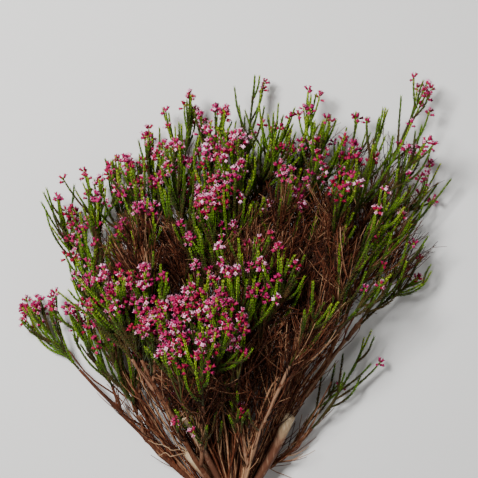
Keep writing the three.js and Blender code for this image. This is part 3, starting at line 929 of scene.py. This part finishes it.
def noise_on(tree, scale, detail, stretch=(1, 1, 1)):
    """Noise on the piece's own coordinates, in spots per metre."""
    coordinates = tree.nodes.new("ShaderNodeTexCoord")
    mapping = tree.nodes.new("ShaderNodeMapping")
    mapping.inputs["Scale"].default_value = stretch
    noise = tree.nodes.new("ShaderNodeTexNoise")
    noise.inputs["Scale"].default_value = scale
    noise.inputs["Detail"].default_value = detail
    tree.links.new(coordinates.outputs["Object"], mapping.inputs["Vector"])
    tree.links.new(mapping.outputs["Vector"], noise.inputs["Vector"])
    return noise.outputs["Fac"]


def ramp_on(tree, value, stops):
    """A colour for each value, between stops of (place, colour)."""
    ramp = tree.nodes.new("ShaderNodeValToRGB")
    elements = ramp.color_ramp.elements
    while len(elements) < len(stops):
        elements.new(0.5)
    for element, (place, colour) in zip(elements, stops):
        element.position = place
        element.color = (*colour, 1)
    tree.links.new(value, ramp.inputs["Fac"])
    return ramp.outputs["Color"]


def sum_of(tree, first, second, share):
    """First plus a share of how far second is from one half."""
    times = tree.nodes.new("ShaderNodeMath")
    times.operation = "MULTIPLY_ADD"
    times.inputs[1].default_value = share
    times.inputs[2].default_value = -share / 2
    tree.links.new(second, times.inputs[0])
    total = tree.nodes.new("ShaderNodeMath")
    total.operation = "ADD"
    tree.links.new(first, total.inputs[0])
    tree.links.new(times.outputs[0], total.inputs[1])
    return total.outputs[0]


def bump_on(tree, shader, height, strength, distance):
    """Small bumps from a height."""
    bump = tree.nodes.new("ShaderNodeBump")
    bump.inputs["Strength"].default_value = strength
    bump.inputs["Distance"].default_value = distance
    tree.links.new(height, bump.inputs["Height"])
    tree.links.new(bump.outputs["Normal"], shader.inputs["Normal"])


def value_of(tree, name):
    """A fact that the mesh holds at each of its corners."""
    attribute = tree.nodes.new("ShaderNodeAttribute")
    attribute.attribute_name = name
    return attribute.outputs["Fac"]


def bark_finish():
    """Bark from its dark furrows to weathered tan."""
    colours = bpy.context.scene.heath_colours
    return rough_finish("heath bark", colours.bark_dark, colours.bark_red, colours.bark_tan)


def twig_finish():
    """The thinner bark of dry twigs, redder and darker."""
    colours = bpy.context.scene.heath_colours
    return rough_finish("heath dry twig", colours.twig_dark, colours.twig_red, colours.twig_tan)


def rough_finish(name, dark, middle, pale):
    """Rough wood in broad patches and with fine furrows along it."""
    material, tree, shader = new_finish(name, roughness=0.85, shine=0.12)
    broad = noise_on(tree, scale=24, detail=3)
    fine = noise_on(tree, scale=620, detail=4, stretch=(1, 0.3, 1))
    value = sum_of(tree, value_of(tree, "tone"), broad, share=0.8)
    value = sum_of(tree, value, fine, share=0.8)
    stops = [(0.15, dark), (0.5, middle), (0.9, pale)]
    tree.links.new(ramp_on(tree, value, stops), shader.inputs["Base Color"])
    bump_on(tree, shader, fine, strength=0.6, distance=0.5 * MM)
    return material


def pale_wood_finish():
    """Bare wood in long streaks, with bark where its tone is low."""
    colours = bpy.context.scene.heath_colours
    material, tree, shader = new_finish("heath bare wood", roughness=0.7, shine=0.3)
    streaks = noise_on(tree, scale=420, detail=5, stretch=(1, 0.12, 1))
    value = sum_of(tree, value_of(tree, "tone"), streaks, share=1.2)
    stops = [
        (0.05, colours.bark_red), (0.35, colours.bark_tan), (0.8, colours.wood_pale),
        (1.0, colours.wood_bleached),
    ]
    tree.links.new(ramp_on(tree, value, stops), shader.inputs["Base Color"])
    bump_on(tree, shader, streaks, strength=0.5, distance=0.4 * MM)
    return material


def leaf_finish():
    """Leaves from dry brown over green to the yellow-green of young tips. The dark stops also carry painted
    shade, low on the shoots and in the stem's middle.
    """
    colours = bpy.context.scene.heath_colours
    material, tree, shader = new_finish("heath leaf", roughness=0.6, shine=0.2)
    patches = noise_on(tree, scale=70, detail=2)
    value = sum_of(tree, value_of(tree, "tone"), patches, share=0.35)
    stops = [
        (0.0, colours.leaf_dry), (0.2, colours.leaf_dark), (0.55, colours.leaf_green),
        (0.95, colours.leaf_young),
    ]
    tree.links.new(ramp_on(tree, value, stops), shader.inputs["Base Color"])
    bump_on(tree, shader, noise_on(tree, scale=900, detail=2), strength=0.4, distance=0.2 * MM)
    return material


def bell_finish():
    """Bells from a dark base to pale lobes, in patches of magenta and of crimson."""
    colours = bpy.context.scene.heath_colours
    material, tree, shader = new_finish("heath bell", roughness=0.6, shine=0.2)
    value = sum_of(tree, value_of(tree, "reach"), value_of(tree, "tone"), share=0.5)
    hues = []
    for belly in (colours.bell_belly, colours.bell_crimson):
        stops = [(0.16, colours.bell_base), (0.5, belly), (0.8, belly), (0.98, colours.bell_mouth)]
        hues.append(ramp_on(tree, value, stops))
    mixed = tree.nodes.new("ShaderNodeMixRGB")
    patches = noise_on(tree, scale=38, detail=2)
    patches = ramp_on(tree, patches, [(0.38, (0, 0, 0)), (0.66, (1, 1, 1))])
    for source, target in zip((patches, *hues), mixed.inputs):
        tree.links.new(source, target)
    tree.links.new(mixed.outputs[0], shader.inputs["Base Color"])
    bump_on(tree, shader, noise_on(tree, scale=1400, detail=2), strength=0.3, distance=0.15 * MM)
    return material


# Pieces of wood


def foot_swell(around, share):
    """How much wider than a cylinder the foot is at an angle and at a share of its length from the cut."""
    return 1 + sum(high * math.sin(turns * around + waves * share) for high, turns, waves in FOOT_SWELLS)


def foot_piece():
    """The foot: a cylinder with a slanted cut, swollen and furrowed, flat where it lies."""
    deselect()
    bpy.ops.mesh.primitive_cylinder_add(
        vertices=FOOT_SIDES, radius=FOOT_RADIUS * MM, depth=FOOT_LENGTH * MM, end_fill_type="TRIFAN",
        rotation=(math.radians(-90), 0, 0),
    )
    foot = bpy.context.object
    bpy.ops.object.transform_apply(rotation=True)
    bpy.ops.object.mode_set(mode="EDIT")
    bpy.ops.mesh.subdivide(number_cuts=3)
    bpy.ops.object.mode_set(mode="OBJECT")
    middle = np.array([0, FOOT_TOP - FOOT_LENGTH / 2, FOOT_HEIGHT])
    end, widening = FOOT_ROUNDING
    for vertex in foot.data.vertices:
        x, y, z = np.array(vertex.co) / MM
        share = (y + FOOT_LENGTH / 2) / FOOT_LENGTH
        around = math.atan2(z, x)
        swell = foot_swell(around, share) * min(1.0, end + widening * min(share, 1 - share))
        slant = CUT_SLANT * (z / FOOT_RADIUS) * (1 - share) if share < 0.5 else 0
        spot = np.array([x * swell, y + slant, z * swell]) + middle
        vertex.co = (lift(spot, 0) + SHIFT) * MM
    add_fact(foot.data, "tone", np.full(len(foot.data.vertices), FOOT_TONE))
    return foot


def cut_face():
    """The pale wood of the foot's slanted cut, with its rings, as a flat lens inside the bark."""
    deselect()
    bpy.ops.mesh.primitive_uv_sphere_add(segments=FOOT_SIDES, ring_count=CUT_SPANS, radius=1)
    face = bpy.context.object
    face.name = "cut_face"
    middle = np.array([0, FOOT_TOP - FOOT_LENGTH, FOOT_HEIGHT])
    usual, ring = CUT_TONES
    tones = []
    for vertex in face.data.vertices:
        x, z, y = vertex.co
        wide = CUT_SHARE * FOOT_RADIUS * foot_swell(math.atan2(z, x), 0)
        spot = np.array([x * wide, -y * CUT_BULGE + CUT_SLANT * z * wide / FOOT_RADIUS, z * wide]) + middle
        vertex.co = (lift(spot, 0) + SHIFT) * MM
        tones.append(usual + ring * math.sin(CUT_RINGS * math.hypot(x, z)))
    add_fact(face.data, "tone", tones)
    return face


def wood_lines():
    """Every branch's wood as a finely bent line with its radii."""
    rng = np.random.default_rng([SEED, WOOD_DRAWS])
    lines, radii = [], []
    for branch in stem().branches:
        count = LIMB_POINTS if branch.parent is None else FORK_POINTS
        points = sway(smooth(branch.wood, count), SWAY, rng)
        share = np.linspace(0, 1, count)
        thick = radius_at((branch.thick, SPRAY_RADIUS), share)
        waves = np.sin(share * count * KNOT_STEP + rng.uniform(0, TAU))
        knots = 1 + KNOT_SWELL * np.maximum(waves, 0) ** 4
        lines.append(points)
        radii.append(thick * knots)
    return lines, radii


def peelings():
    """Curled strips of pale bark that hang from the first stub, with their radii."""
    rng = np.random.default_rng([SEED, PEELING_DRAWS])
    root = stem().stubs[0].points[-1]
    share = np.linspace(0, 1, PEELING_POINTS)[:, None]
    lines = []
    for reach, rise in PEELINGS:
        line = root + share * np.array([-reach, rise, 0]) + np.sin(share * math.pi) * PEELING_BOW
        lines.append(sway(line, PEELING_SWAY, rng))
    return lines, [taper(PEELING_POINTS, PEELING_RADII)] * len(lines)


# Dry twigs


def twig_from(point, ahead, rng, length, angle):
    """A side twig of a long thin stem, which turns a little towards +Y."""
    main = unit(mix(ahead, AHEAD, rng.uniform(*TWIG_LEANS)))
    line = side_line(point, ahead, rng.uniform(0, TAU), angle, main, length, BROOM_TWIG_SPANS)
    return sway(smooth(line, BROOM_TWIG_SPANS * 2), length * TWIG_SWAY, rng)


def broom_lines():
    """Long thin stems from the foot, each between two branches that end near each other."""
    rng = np.random.default_rng([SEED, BROOM_DRAWS])
    ways = [smooth(way_to(branch), BROOM_PLACES) for branch in stem().branches]
    ends = np.array([way[-1] for way in ways])
    lines = []
    while len(lines) < BROOM:
        first = rng.integers(len(ways))
        near = np.flatnonzero(np.linalg.norm(ends - ends[first], axis=1) < BROOM_REACH)
        second = rng.choice(near)
        line = mix(ways[first], ways[second], rng.uniform(0, 1))
        kept = rng.integers(*BROOM_KEPT)
        lines.append(under_stub(sway(smooth(line[:kept], BROOM_POINTS), BROOM_SWAY, rng)))
    return lines


def under_stub(line):
    """A line that passes under the first stub's pale end."""
    end = smooth(stem().stubs[0].points, STUB_POINTS)[STUB_POINTS // 2 :, :2]
    gap = np.linalg.norm(line[:, None, :2] - end[None], axis=2).min(1)
    room = np.clip((gap - STUB_ROOM) / STUB_ROOM, 0, 1)
    line[:, 2] = np.minimum(line[:, 2], mix(STUB_UNDER, line[:, 2], room))
    return line


def spot_in(plan, rng):
    """A random place in a plan's ellipsoid."""
    return plan["middle"] + unit(rng.normal(size=3)) * plan["half"] * rng.uniform() ** (1 / 3)


def grown_from(tip, carriers, reaches, spread, rng):
    """A line to a tip from one of the carriers behind it, or none if there is no such carrier."""
    main = unit(unit(tip - FAN_MIDDLE) + rng.normal(0, spread, 3))
    away = tip - carriers
    reach = np.linalg.norm(away, axis=1)
    behind = np.flatnonzero(
        (reach > reaches[0]) & (reach < reaches[1]) & (away @ main > FAN_WIDTH * reach)
    )
    if not len(behind):
        return None
    chosen = rng.choice(behind)
    last = unit(away[chosen] / reach[chosen] + main)
    root = mix(carriers[chosen], tip, OWN_ROOT)
    return arc(root, tip - last * (reach[chosen] * FAN_BEND), tip, 0, 1, FAN_SPANS)


@functools.lru_cache
def dry_lines():
    """All dry twigs but the thickets' as lines with their radii: main ones, the broom and its side twigs."""
    rng = np.random.default_rng([SEED, DRY_DRAWS])
    lines = [smooth(points, DRY_POINTS) for points in stem().twigs]
    radii = [taper(DRY_POINTS, TWIG_RADII) for _ in lines]
    for line in broom_lines():
        lines.append(line)
        radii.append(taper(len(line), BROOM_RADII) * rng.uniform(*BROOM_VARIES))
        for _ in range(BROOM_TWIGS):
            point, ahead = along(line, rng.uniform(*BROOM_TWIG_PLACES))
            length, angle = rng.uniform(*BROOM_TWIG_LENGTHS), rng.uniform(*BROOM_TWIG_ANGLES)
            twig = twig_from(point, ahead, rng, length, angle)
            lines.append(twig)
            radii.append(taper(len(twig), THIN_RADII))
    return lines, radii


@functools.lru_cache
def carrier_points():
    """Places that the thickets' twigs and the beds' shoots may grow from."""
    sprays = [smooth(branch.line, CARRIER_POINTS)[:CARRIER_KEPT] for branch in stem().branches]
    return np.vstack(dry_lines()[0] + sprays)


def thicket_lines(plans, group):
    """The twigs of thickets, each with its side twigs, as lines with their radii and tones."""
    rng = np.random.default_rng([SEED, group])
    lines, radii, tones = [], [], []
    for plan in plans:
        for _ in range(plan["count"]):
            twig = grown_from(spot_in(plan, rng), carrier_points(), THICKET_REACHES, THICKET_SPREAD, rng)
            if twig is None:
                continue
            lines.append(twig)
            radii.append(taper(len(twig), THICKET_RADII))
            tones += [THICKET_TONE - plan.get("darker", 0)] * (1 + SIDE_TWIGS)
            for _ in range(SIDE_TWIGS):
                point, ahead = along(twig, rng.uniform(*SIDE_TWIG_PLACES))
                angle, length = rng.uniform(*SIDE_TWIG_ANGLES), rng.uniform(*SIDE_TWIG_LENGTHS)
                lines.append(side_line(point, ahead, rng.uniform(0, TAU), angle, ahead, length, 1))
                radii.append(SIDE_TWIG_RADII)
    return lines, radii, np.array(tones)


# Leaves and bells


def leaf_master(sizes):
    """One needle leaf: a flat three-sided spike with its base at the origin, along +Z."""
    deselect()
    length, width = sizes.leaf_length, sizes.leaf_width
    bpy.ops.mesh.primitive_cone_add(vertices=3, radius1=width / 2, depth=length, location=(0, 0, length / 2))
    leaf = bpy.context.object
    leaf.scale = (LEAF_FLAT, 1, 1)
    bpy.ops.object.transform_apply()
    return master_mesh(leaf)


def bell_master(sizes):
    """One bell along +Z: a closed urn with four lobes round its mouth, with its base at the origin."""
    deselect()
    length, radius = sizes.bell_length, sizes.bell_radius
    (height, wide), *rings = BELL_RINGS
    bpy.ops.mesh.primitive_circle_add(
        vertices=BELL_SIDES, radius=radius * wide, fill_type="TRIFAN", location=(0, 0, length * height),
    )
    bell = bpy.context.object
    bpy.ops.object.transform_apply(location=True)
    base = min(bell.data.vertices, key=lambda v: v.co.xy.length)
    base.co.z = 0
    bpy.ops.object.mode_set(mode="EDIT")
    bpy.ops.mesh.select_all(action="DESELECT")
    bpy.ops.mesh.select_non_manifold()
    for next_height, next_wide in rings:
        bpy.ops.mesh.extrude_region_move(
            TRANSFORM_OT_translate={"value": (0, 0, (next_height - height) * length)}
        )
        grow = next_wide / wide
        bpy.ops.transform.resize(value=(grow, grow, 1), center_override=(0, 0, next_height * length))
        height, wide = next_height, next_wide
    bpy.ops.mesh.extrude_region_move(TRANSFORM_OT_translate={"value": (0, 0, -BELL_HOLLOW * length)})
    bpy.ops.mesh.merge(type="CENTER")
    bpy.ops.mesh.select_all(action="SELECT")
    bpy.ops.mesh.normals_make_consistent(inside=False)
    bpy.ops.object.mode_set(mode="OBJECT")
    mouth = [v for v in bell.data.vertices if abs(v.co.z - height * length) < BELL_NEAR * length]
    rise, out, lobe = BELL_LOBES
    for vertex in mouth:
        wave = math.cos(4 * math.atan2(vertex.co.y, vertex.co.x))
        vertex.co.z += rise * length * wave
        vertex.co.xy *= out + lobe * wave
    return master_mesh(bell)


def shoot_kit(sizes):
    """What every shoot is made of: the sizes, one leaf, one bell and their finishes."""
    return SimpleNamespace(
        sizes=sizes, leaf=leaf_master(sizes), bell=bell_master(sizes), green=leaf_finish(),
        pink=bell_finish(),
    )


def seats_of(base, ahead, side, size):
    """Places for copies, each with its own axes."""
    side = side - ahead * (side * ahead).sum(1, keepdims=True)
    side /= np.linalg.norm(side, axis=1, keepdims=True)
    return SimpleNamespace(base=base, ahead=ahead, side=side, over=np.cross(ahead, side), size=size)


def line_frames(points, count):
    """Evenly spaced places along a smooth line, with the directions ahead and to two sides."""
    fine = smooth(points, max(count, 2))
    ahead = np.gradient(fine, axis=0)
    ahead /= np.linalg.norm(ahead, axis=1, keepdims=True)
    side = np.cross(ahead, UP if abs(ahead[:, 2]).max() < STEEP else RIGHT)
    side /= np.linalg.norm(side, axis=1, keepdims=True)
    return fine, ahead, side, np.cross(side, ahead)


def leaf_seats(points, bare, sizes, rng):
    """Where a line's leaves sit: whorls of four, each turned by half a gap from the last."""
    count = max(int(length_of(points) * (1 - bare) * MM / sizes.whorl_step), 2)
    whole = smooth(points, LEAF_POINTS)
    fine, ahead, side, over = line_frames(whole[int((LEAF_POINTS - 1) * bare) :], count)
    share = np.linspace(0, 1, count)
    usual, varies, closing = LEAF_TILTS
    bases, aheads, sides, scales = [], [], [], []
    for corner in range(WHORL):
        turns = corner / WHORL + np.arange(count) % 2 / (2 * WHORL)
        around = TAU * turns + rng.normal(0, WHORL_VARIES, count)
        out = side * np.cos(around)[:, None] + over * np.sin(around)[:, None]
        tilt = rng.normal(usual, varies, count) - closing * share
        bases.append(fine + out * sizes.shoot_radius / MM * LEAF_SEAT)
        aheads.append(ahead * np.cos(tilt)[:, None] + out * np.sin(tilt)[:, None])
        sides.append(out)
        scales.append(rng.uniform(*SIZE_VARIES, count) * (1 - LEAF_TIP * share**4))
    # tones darker towards each shoot's root: dry, old leaves there, and partly painted shade
    root, more, late = LEAF_TONES
    tones = np.tile(root + more * share**late, WHORL) + rng.normal(0, LEAF_VARIES[0], WHORL * count)
    return np.vstack(bases), np.vstack(aheads), np.vstack(sides), np.concatenate(scales), tones


def is_crowded(tip):
    """Whether a place is over the middle of one of the two large thickets."""
    for plan in THICKETS[:2]:
        away = (tip - plan["middle"]) / plan["half"]
        if away[:2] @ away[:2] < CROWDED and away[2] > 0:
            return True
    return False


def finer(line, count, towards, rng, leans, turns, spans):
    """Shoots along a line that end before its own tip does, or just past it, and lean one way."""
    lines = []
    for _ in range(count):
        at = rng.uniform(*FINE_PLACES)
        point, ahead = along(line, at)
        main = unit(mix(ahead, towards, rng.uniform(*leans)))
        length = length_of(line) * (1 - at) * rng.uniform(*FINE_REACHES) + rng.uniform(*FINE_EXTRA)
        shoot = side_line(point, ahead, rng.uniform(0, TAU), rng.uniform(*turns), main, length, spans)
        if not is_crowded(shoot[-1]):
            lines.append(shoot)
    return lines


def fine_shoots(branch, rng):
    """More shoots between a spray's main ones: on its own line and, shorter, on the main shoots."""
    towards, (own, others) = AHEAD, MOST_SHOOTS
    if branch.line[-1, 0] > RIGHT_SIDE:
        towards, (own, others) = unit(branch.line[-1] - RIGHT_FAN), RIGHT_SHOOTS
    if branch.is_sparse:
        own, others = SPARSE_SHOOTS
    lines = finer(branch.line, own, towards, rng, **FINE_OWN)
    for shoot in branch.shoots:
        lines += finer(shoot, others, towards, rng, **FINE_SIDE)
    return lines


def bed_shoots(bed, rng):
    """A bed's shoots: each grows from a twig or a spray behind it, and few stand over a thicket."""
    spots = [spot_in(bed, rng) for _ in range(bed["count"])]
    spots = [spot for spot in spots if "over" in bed or not is_crowded(spot)]
    reaches = bed.get("reaches", THICKET_REACHES)
    lines = [grown_from(spot, carrier_points(), reaches, BED_SPREAD, rng) for spot in spots]
    return [line for line in lines if line is not None]


def flower_bed(tip):
    """The flower bed that a place is in."""
    for bed in FLOWER_BEDS:
        away = (tip[:2] - bed["middle"]) / bed["half"]
        if away @ away < 1:
            return bed
    return {"share": FEW_FLOWERS}


def clumping(tip):
    """How much likelier bells are at a place than elsewhere near it."""
    x, y = tip[:2] / CLUMP
    (sway_x, step_y), (sway_y, step_x) = CLUMP_BENDS
    waves = math.sin(x + sway_x * math.sin(y / step_y)) * math.sin(y + sway_y * math.sin(x / step_x))
    usual, swing = CLUMP_SHARES
    return usual + swing * waves


def head_seats(tip, ahead, rng):
    """Where the bells of one head sit: they look out all round a place on a line."""
    side = unit(np.cross(ahead, UP if abs(ahead[2]) < STEEP else AHEAD))
    over = np.cross(side, ahead)
    count = rng.integers(*BELLS)
    around = rng.uniform(0, TAU) + np.arange(count) * LEAF_TURN
    least, most, varies = BELL_TILTS
    tilt = np.linspace(least, most, count) + rng.normal(0, varies, count)
    out = side * np.cos(around)[:, None] + over * np.sin(around)[:, None]
    aims = ahead * np.cos(tilt)[:, None] + out * np.sin(tilt)[:, None]
    back = rng.uniform(0, BELL_BACK, count) * (tilt > BELL_LEVEL)
    base = tip - ahead * back[:, None] + aims * BELL_STALK
    return base, aims, out, rng.uniform(*SIZE_VARIES, count)


def painted_sun_on(tip):
    """Painted light and shade on the leaves near a place: paler at the edge of the stem and on its upper
    side, as if lit there, and darker towards its middle, as if shaded.
    """
    away = np.array([np.linalg.norm(tip[:2] - PAINTED_SHADE_MIDDLE), tip[2]])
    return mix(*PAINTED_SUN_TONES, np.clip((away - PAINTED_SUN_STARTS) / PAINTED_SUN_WAYS, 0, 1).max())


def heads_on(points, rng):
    """The heads of a shoot, if it has any, with the tones of their bells."""
    bed = flower_bed(points[-1])
    if rng.uniform() >= bed["share"] * clumping(points[-1]):
        return [], []
    places = [1, rng.uniform(*SIDE_HEAD_PLACES)] if rng.uniform() < SIDE_HEADS else [1]
    usual, head_varies, bell_varies = BELL_TONES
    heads, tones = [], []
    for place in places:
        head = head_seats(*along(points, place), rng)
        tone = rng.normal(usual + bed.get("paler", 0), head_varies)
        heads.append(head)
        tones.append(tone + rng.normal(0, bell_varies, len(head[0])))
    return heads, tones


def leafy(name, lines, bare, rng, kit, nodes):
    """A group of shoots: its leaves with their green stems, and its bells. Nodes are what it stands for."""
    radius = kit.sizes.shoot_radius / MM
    stems, radii, seats, tones, heads, head_tones = [], [], [], [], [], []
    for i, points in enumerate(lines):
        count, thick = SHOOT_STEM if i else OWN_STEM
        stems.append(smooth(points, count))
        radii.append(taper(count, (radius * thick, radius * STEM_END)))
        *seat, tone = leaf_seats(points, bare[i], kit.sizes, rng)
        seats.append(seat)
        # painted light and shade: leaves paler at the stem's edge and top, darker in its middle
        tones.append(tone + rng.normal(0, LEAF_VARIES[1]) + painted_sun_on(points[-1]))
        new_heads, new_tones = heads_on(points, rng)
        heads += new_heads
        head_tones += new_tones
    places = seats_of(*(np.concatenate(parts) for parts in zip(*seats)))
    facts = {"tone": np.repeat(np.concatenate(tones), len(kit.leaf[0]))}
    leaves = copies(name + "_needles", kit.leaf, places, facts)
    core = tubes(name + "_stems", stems, radii, [STEM_TONE] * len(stems))
    lay_on_floor(core)
    piece = join([leaves, core], name + "_leaves")
    dress(piece, kit.green, nodes)
    if not heads:
        return
    places = seats_of(*(np.concatenate(parts) for parts in zip(*heads)))
    corners = kit.bell[0]
    facts = {
        "reach": np.tile(corners[:, 2] / kit.sizes.bell_length, len(places.base)),
        "tone": np.repeat(np.concatenate(head_tones), len(corners)),
    }
    bells = copies(name + "_bells", kit.bell, places, facts)
    dress(bells, kit.pink, nodes)


# Operators


class HEATH_OT_wood(bpy.types.Operator):
    """Model the foot, the limbs and their branches"""

    bl_idname = "heath.wood"
    bl_label = "Wood"

    def execute(self, context):
        lines, radii = wood_lines()
        rng = np.random.default_rng([SEED, BARK_TONE_DRAWS])
        tones = [branch.tone for branch in stem().branches] + rng.normal(0, BARK_VARIES, len(lines))
        wood = tubes("limbs", lines, radii, tones, rounding=3)
        piece = join([wood, foot_piece()], "bark_wood")
        bpy.ops.object.shade_smooth()
        lay_on_floor(piece)
        dress(piece, bark_finish(), ["wood"])
        return {"FINISHED"}


class HEATH_OT_stubs(bpy.types.Operator):
    """Model the pale wood: the stubs that were pruned, their peelings and the foot's cut"""

    bl_idname = "heath.stubs"
    bl_label = "Pruned stubs"

    def execute(self, context):
        share = np.linspace(0, 1, STUB_POINTS)
        lines = [smooth(stub.points, STUB_POINTS) for stub in stem().stubs]
        radii = [radius_at(stub.radii, share) for stub in stem().stubs]
        tones = [np.clip(mix(tone, STUB_END_TONE, share), 0, 1) for tone in STUB_TONES]
        stubs = tubes("stubs", lines, radii, tones, rounding=4)
        strips, thick = peelings()
        strips = tubes("peelings", strips, thick, [PEELING_TONE] * len(strips), rounding=1)
        piece = join([stubs, strips, cut_face()], "pruned_stubs")
        bpy.ops.object.shade_smooth_by_angle(angle=STUB_EDGE)
        lay_on_floor(piece)
        dress(piece, pale_wood_finish(), ["wood"])
        return {"FINISHED"}


class HEATH_OT_twigs(bpy.types.Operator):
    """Model the dry twigs: the main ones, the broom and the thickets"""

    bl_idname = "heath.twigs"
    bl_label = "Dry twigs"

    def execute(self, context):
        rng = np.random.default_rng([SEED, TWIG_TONE_DRAWS])
        finish = twig_finish()
        groups = {
            "dry_twigs": (*dry_lines(), DRY_TONE),
            "thickets": thicket_lines(THICKETS, THICKET_DRAWS),
            "inner_thickets": thicket_lines(INNER_THICKETS, INNER_DRAWS),
        }
        for name, (lines, radii, tones) in groups.items():
            piece = tubes(name, lines, radii, tones + rng.normal(0, TWIG_VARIES, len(lines)))
            lay_on_floor(piece)
            dress(piece, finish, ["wood"])
        return {"FINISHED"}


class HEATH_OT_sprays(bpy.types.Operator):
    """Model the leaves, green stems and bells of the sprays and of the single shoots between them"""

    bl_idname = "heath.sprays"
    bl_label = "Sprays and shoots"

    def execute(self, context):
        kit = shoot_kit(context.scene.heath_sizes)
        for number, branch in enumerate(stem().branches):
            rng = np.random.default_rng([SEED, SPRAY_DRAWS + number])
            lines = [branch.line, *branch.shoots, *fine_shoots(branch, rng)]
            own, others = SPARSE_BARE if branch.is_sparse else SPRAY_BARE
            bare = [own] + [others] * (len(lines) - 1)
            leafy(branch.name, lines, bare, rng, kit, [branch.name])
        for number, bed in enumerate(SHOOT_BEDS):
            rng = np.random.default_rng([SEED, BED_DRAWS, number])
            lines = bed_shoots(bed, rng)
            bare = [bed.get("bare", BED_BARE)] * len(lines)
            leafy(bed["name"] + "_shoots", lines, bare, rng, kit, [])
        return {"FINISHED"}


class HEATH_OT_stage(bpy.types.Operator):
    """Make the pale floor, the soft lights and the camera"""

    bl_idname = "heath.stage"
    bl_label = "Stage"

    def execute(self, context):
        deselect()
        bpy.ops.mesh.primitive_plane_add(size=FLOOR_SIZE, location=(0, 0, -FLOOR_DROP))
        floor = context.object
        floor.name = "floor"
        material, _, shader = new_finish("floor", roughness=0.9, shine=0.2)
        shader.inputs["Base Color"].default_value = (*context.scene.heath_colours.floor, 1)
        floor.data.materials.append(material)
        for lamp in LAMPS:
            bpy.ops.object.light_add(type="AREA", location=lamp["at"])
            light = context.object
            light.name = lamp["name"]
            light.data.size = lamp["size"]
            light.data.energy = lamp["power"]
            light.rotation_euler = (-light.location).to_track_quat("-Z", "Y").to_euler()
        world = context.scene.world or bpy.data.worlds.new("studio")
        context.scene.world = world
        world.use_nodes = True
        background = world.node_tree.nodes["Background"]
        background.inputs["Color"].default_value = (1, 1, 1, 1)
        background.inputs["Strength"].default_value = ROOM_LIGHT
        place = (np.array([*VIEW_MIDDLE, VIEW_HEIGHT]) + SHIFT) * MM
        bpy.ops.object.camera_add(location=place, rotation=(0, 0, 0))
        camera = context.object
        camera.data.sensor_width = SENSOR_WIDTH
        camera.data.lens = FOCAL_LENGTH
        context.scene.camera = camera
        return {"FINISHED"}


class HEATH_PT_panel(bpy.types.Panel):
    """The heath stem's pieces, sizes and colours"""

    bl_idname = "HEATH_PT_panel"
    bl_label = "Heath Stem"
    bl_space_type = "VIEW_3D"
    bl_region_type = "UI"
    bl_category = "Heath Stem"

    def draw(self, context):
        for operator in OPERATORS:
            self.layout.operator(operator.bl_idname)
        for group in (context.scene.heath_sizes, context.scene.heath_colours):
            for name in group.bl_rna.properties.keys():
                if name not in ("rna_type", "name"):
                    self.layout.prop(group, name)


OPERATORS = (HEATH_OT_stage, HEATH_OT_wood, HEATH_OT_stubs, HEATH_OT_twigs, HEATH_OT_sprays)
CLASSES = (HeathSizes, HeathColours, *OPERATORS, HEATH_PT_panel)


def register():
    """Adds the operators, the panel and the scene's sizes and colours."""
    for cls in CLASSES:
        bpy.utils.register_class(cls)
    bpy.types.Scene.heath_sizes = bpy.props.PointerProperty(type=HeathSizes)
    bpy.types.Scene.heath_colours = bpy.props.PointerProperty(type=HeathColours)


def unregister():
    """Takes them away again."""
    del bpy.types.Scene.heath_colours
    del bpy.types.Scene.heath_sizes
    for cls in reversed(CLASSES):
        bpy.utils.unregister_class(cls)


def main():
    """Models the whole stem on its stage."""
    register()
    bpy.ops.heath.stage()
    bpy.ops.heath.wood()
    bpy.ops.heath.stubs()
    bpy.ops.heath.twigs()
    bpy.ops.heath.sprays()
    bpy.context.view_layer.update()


if __name__ == "__main__":
    main()
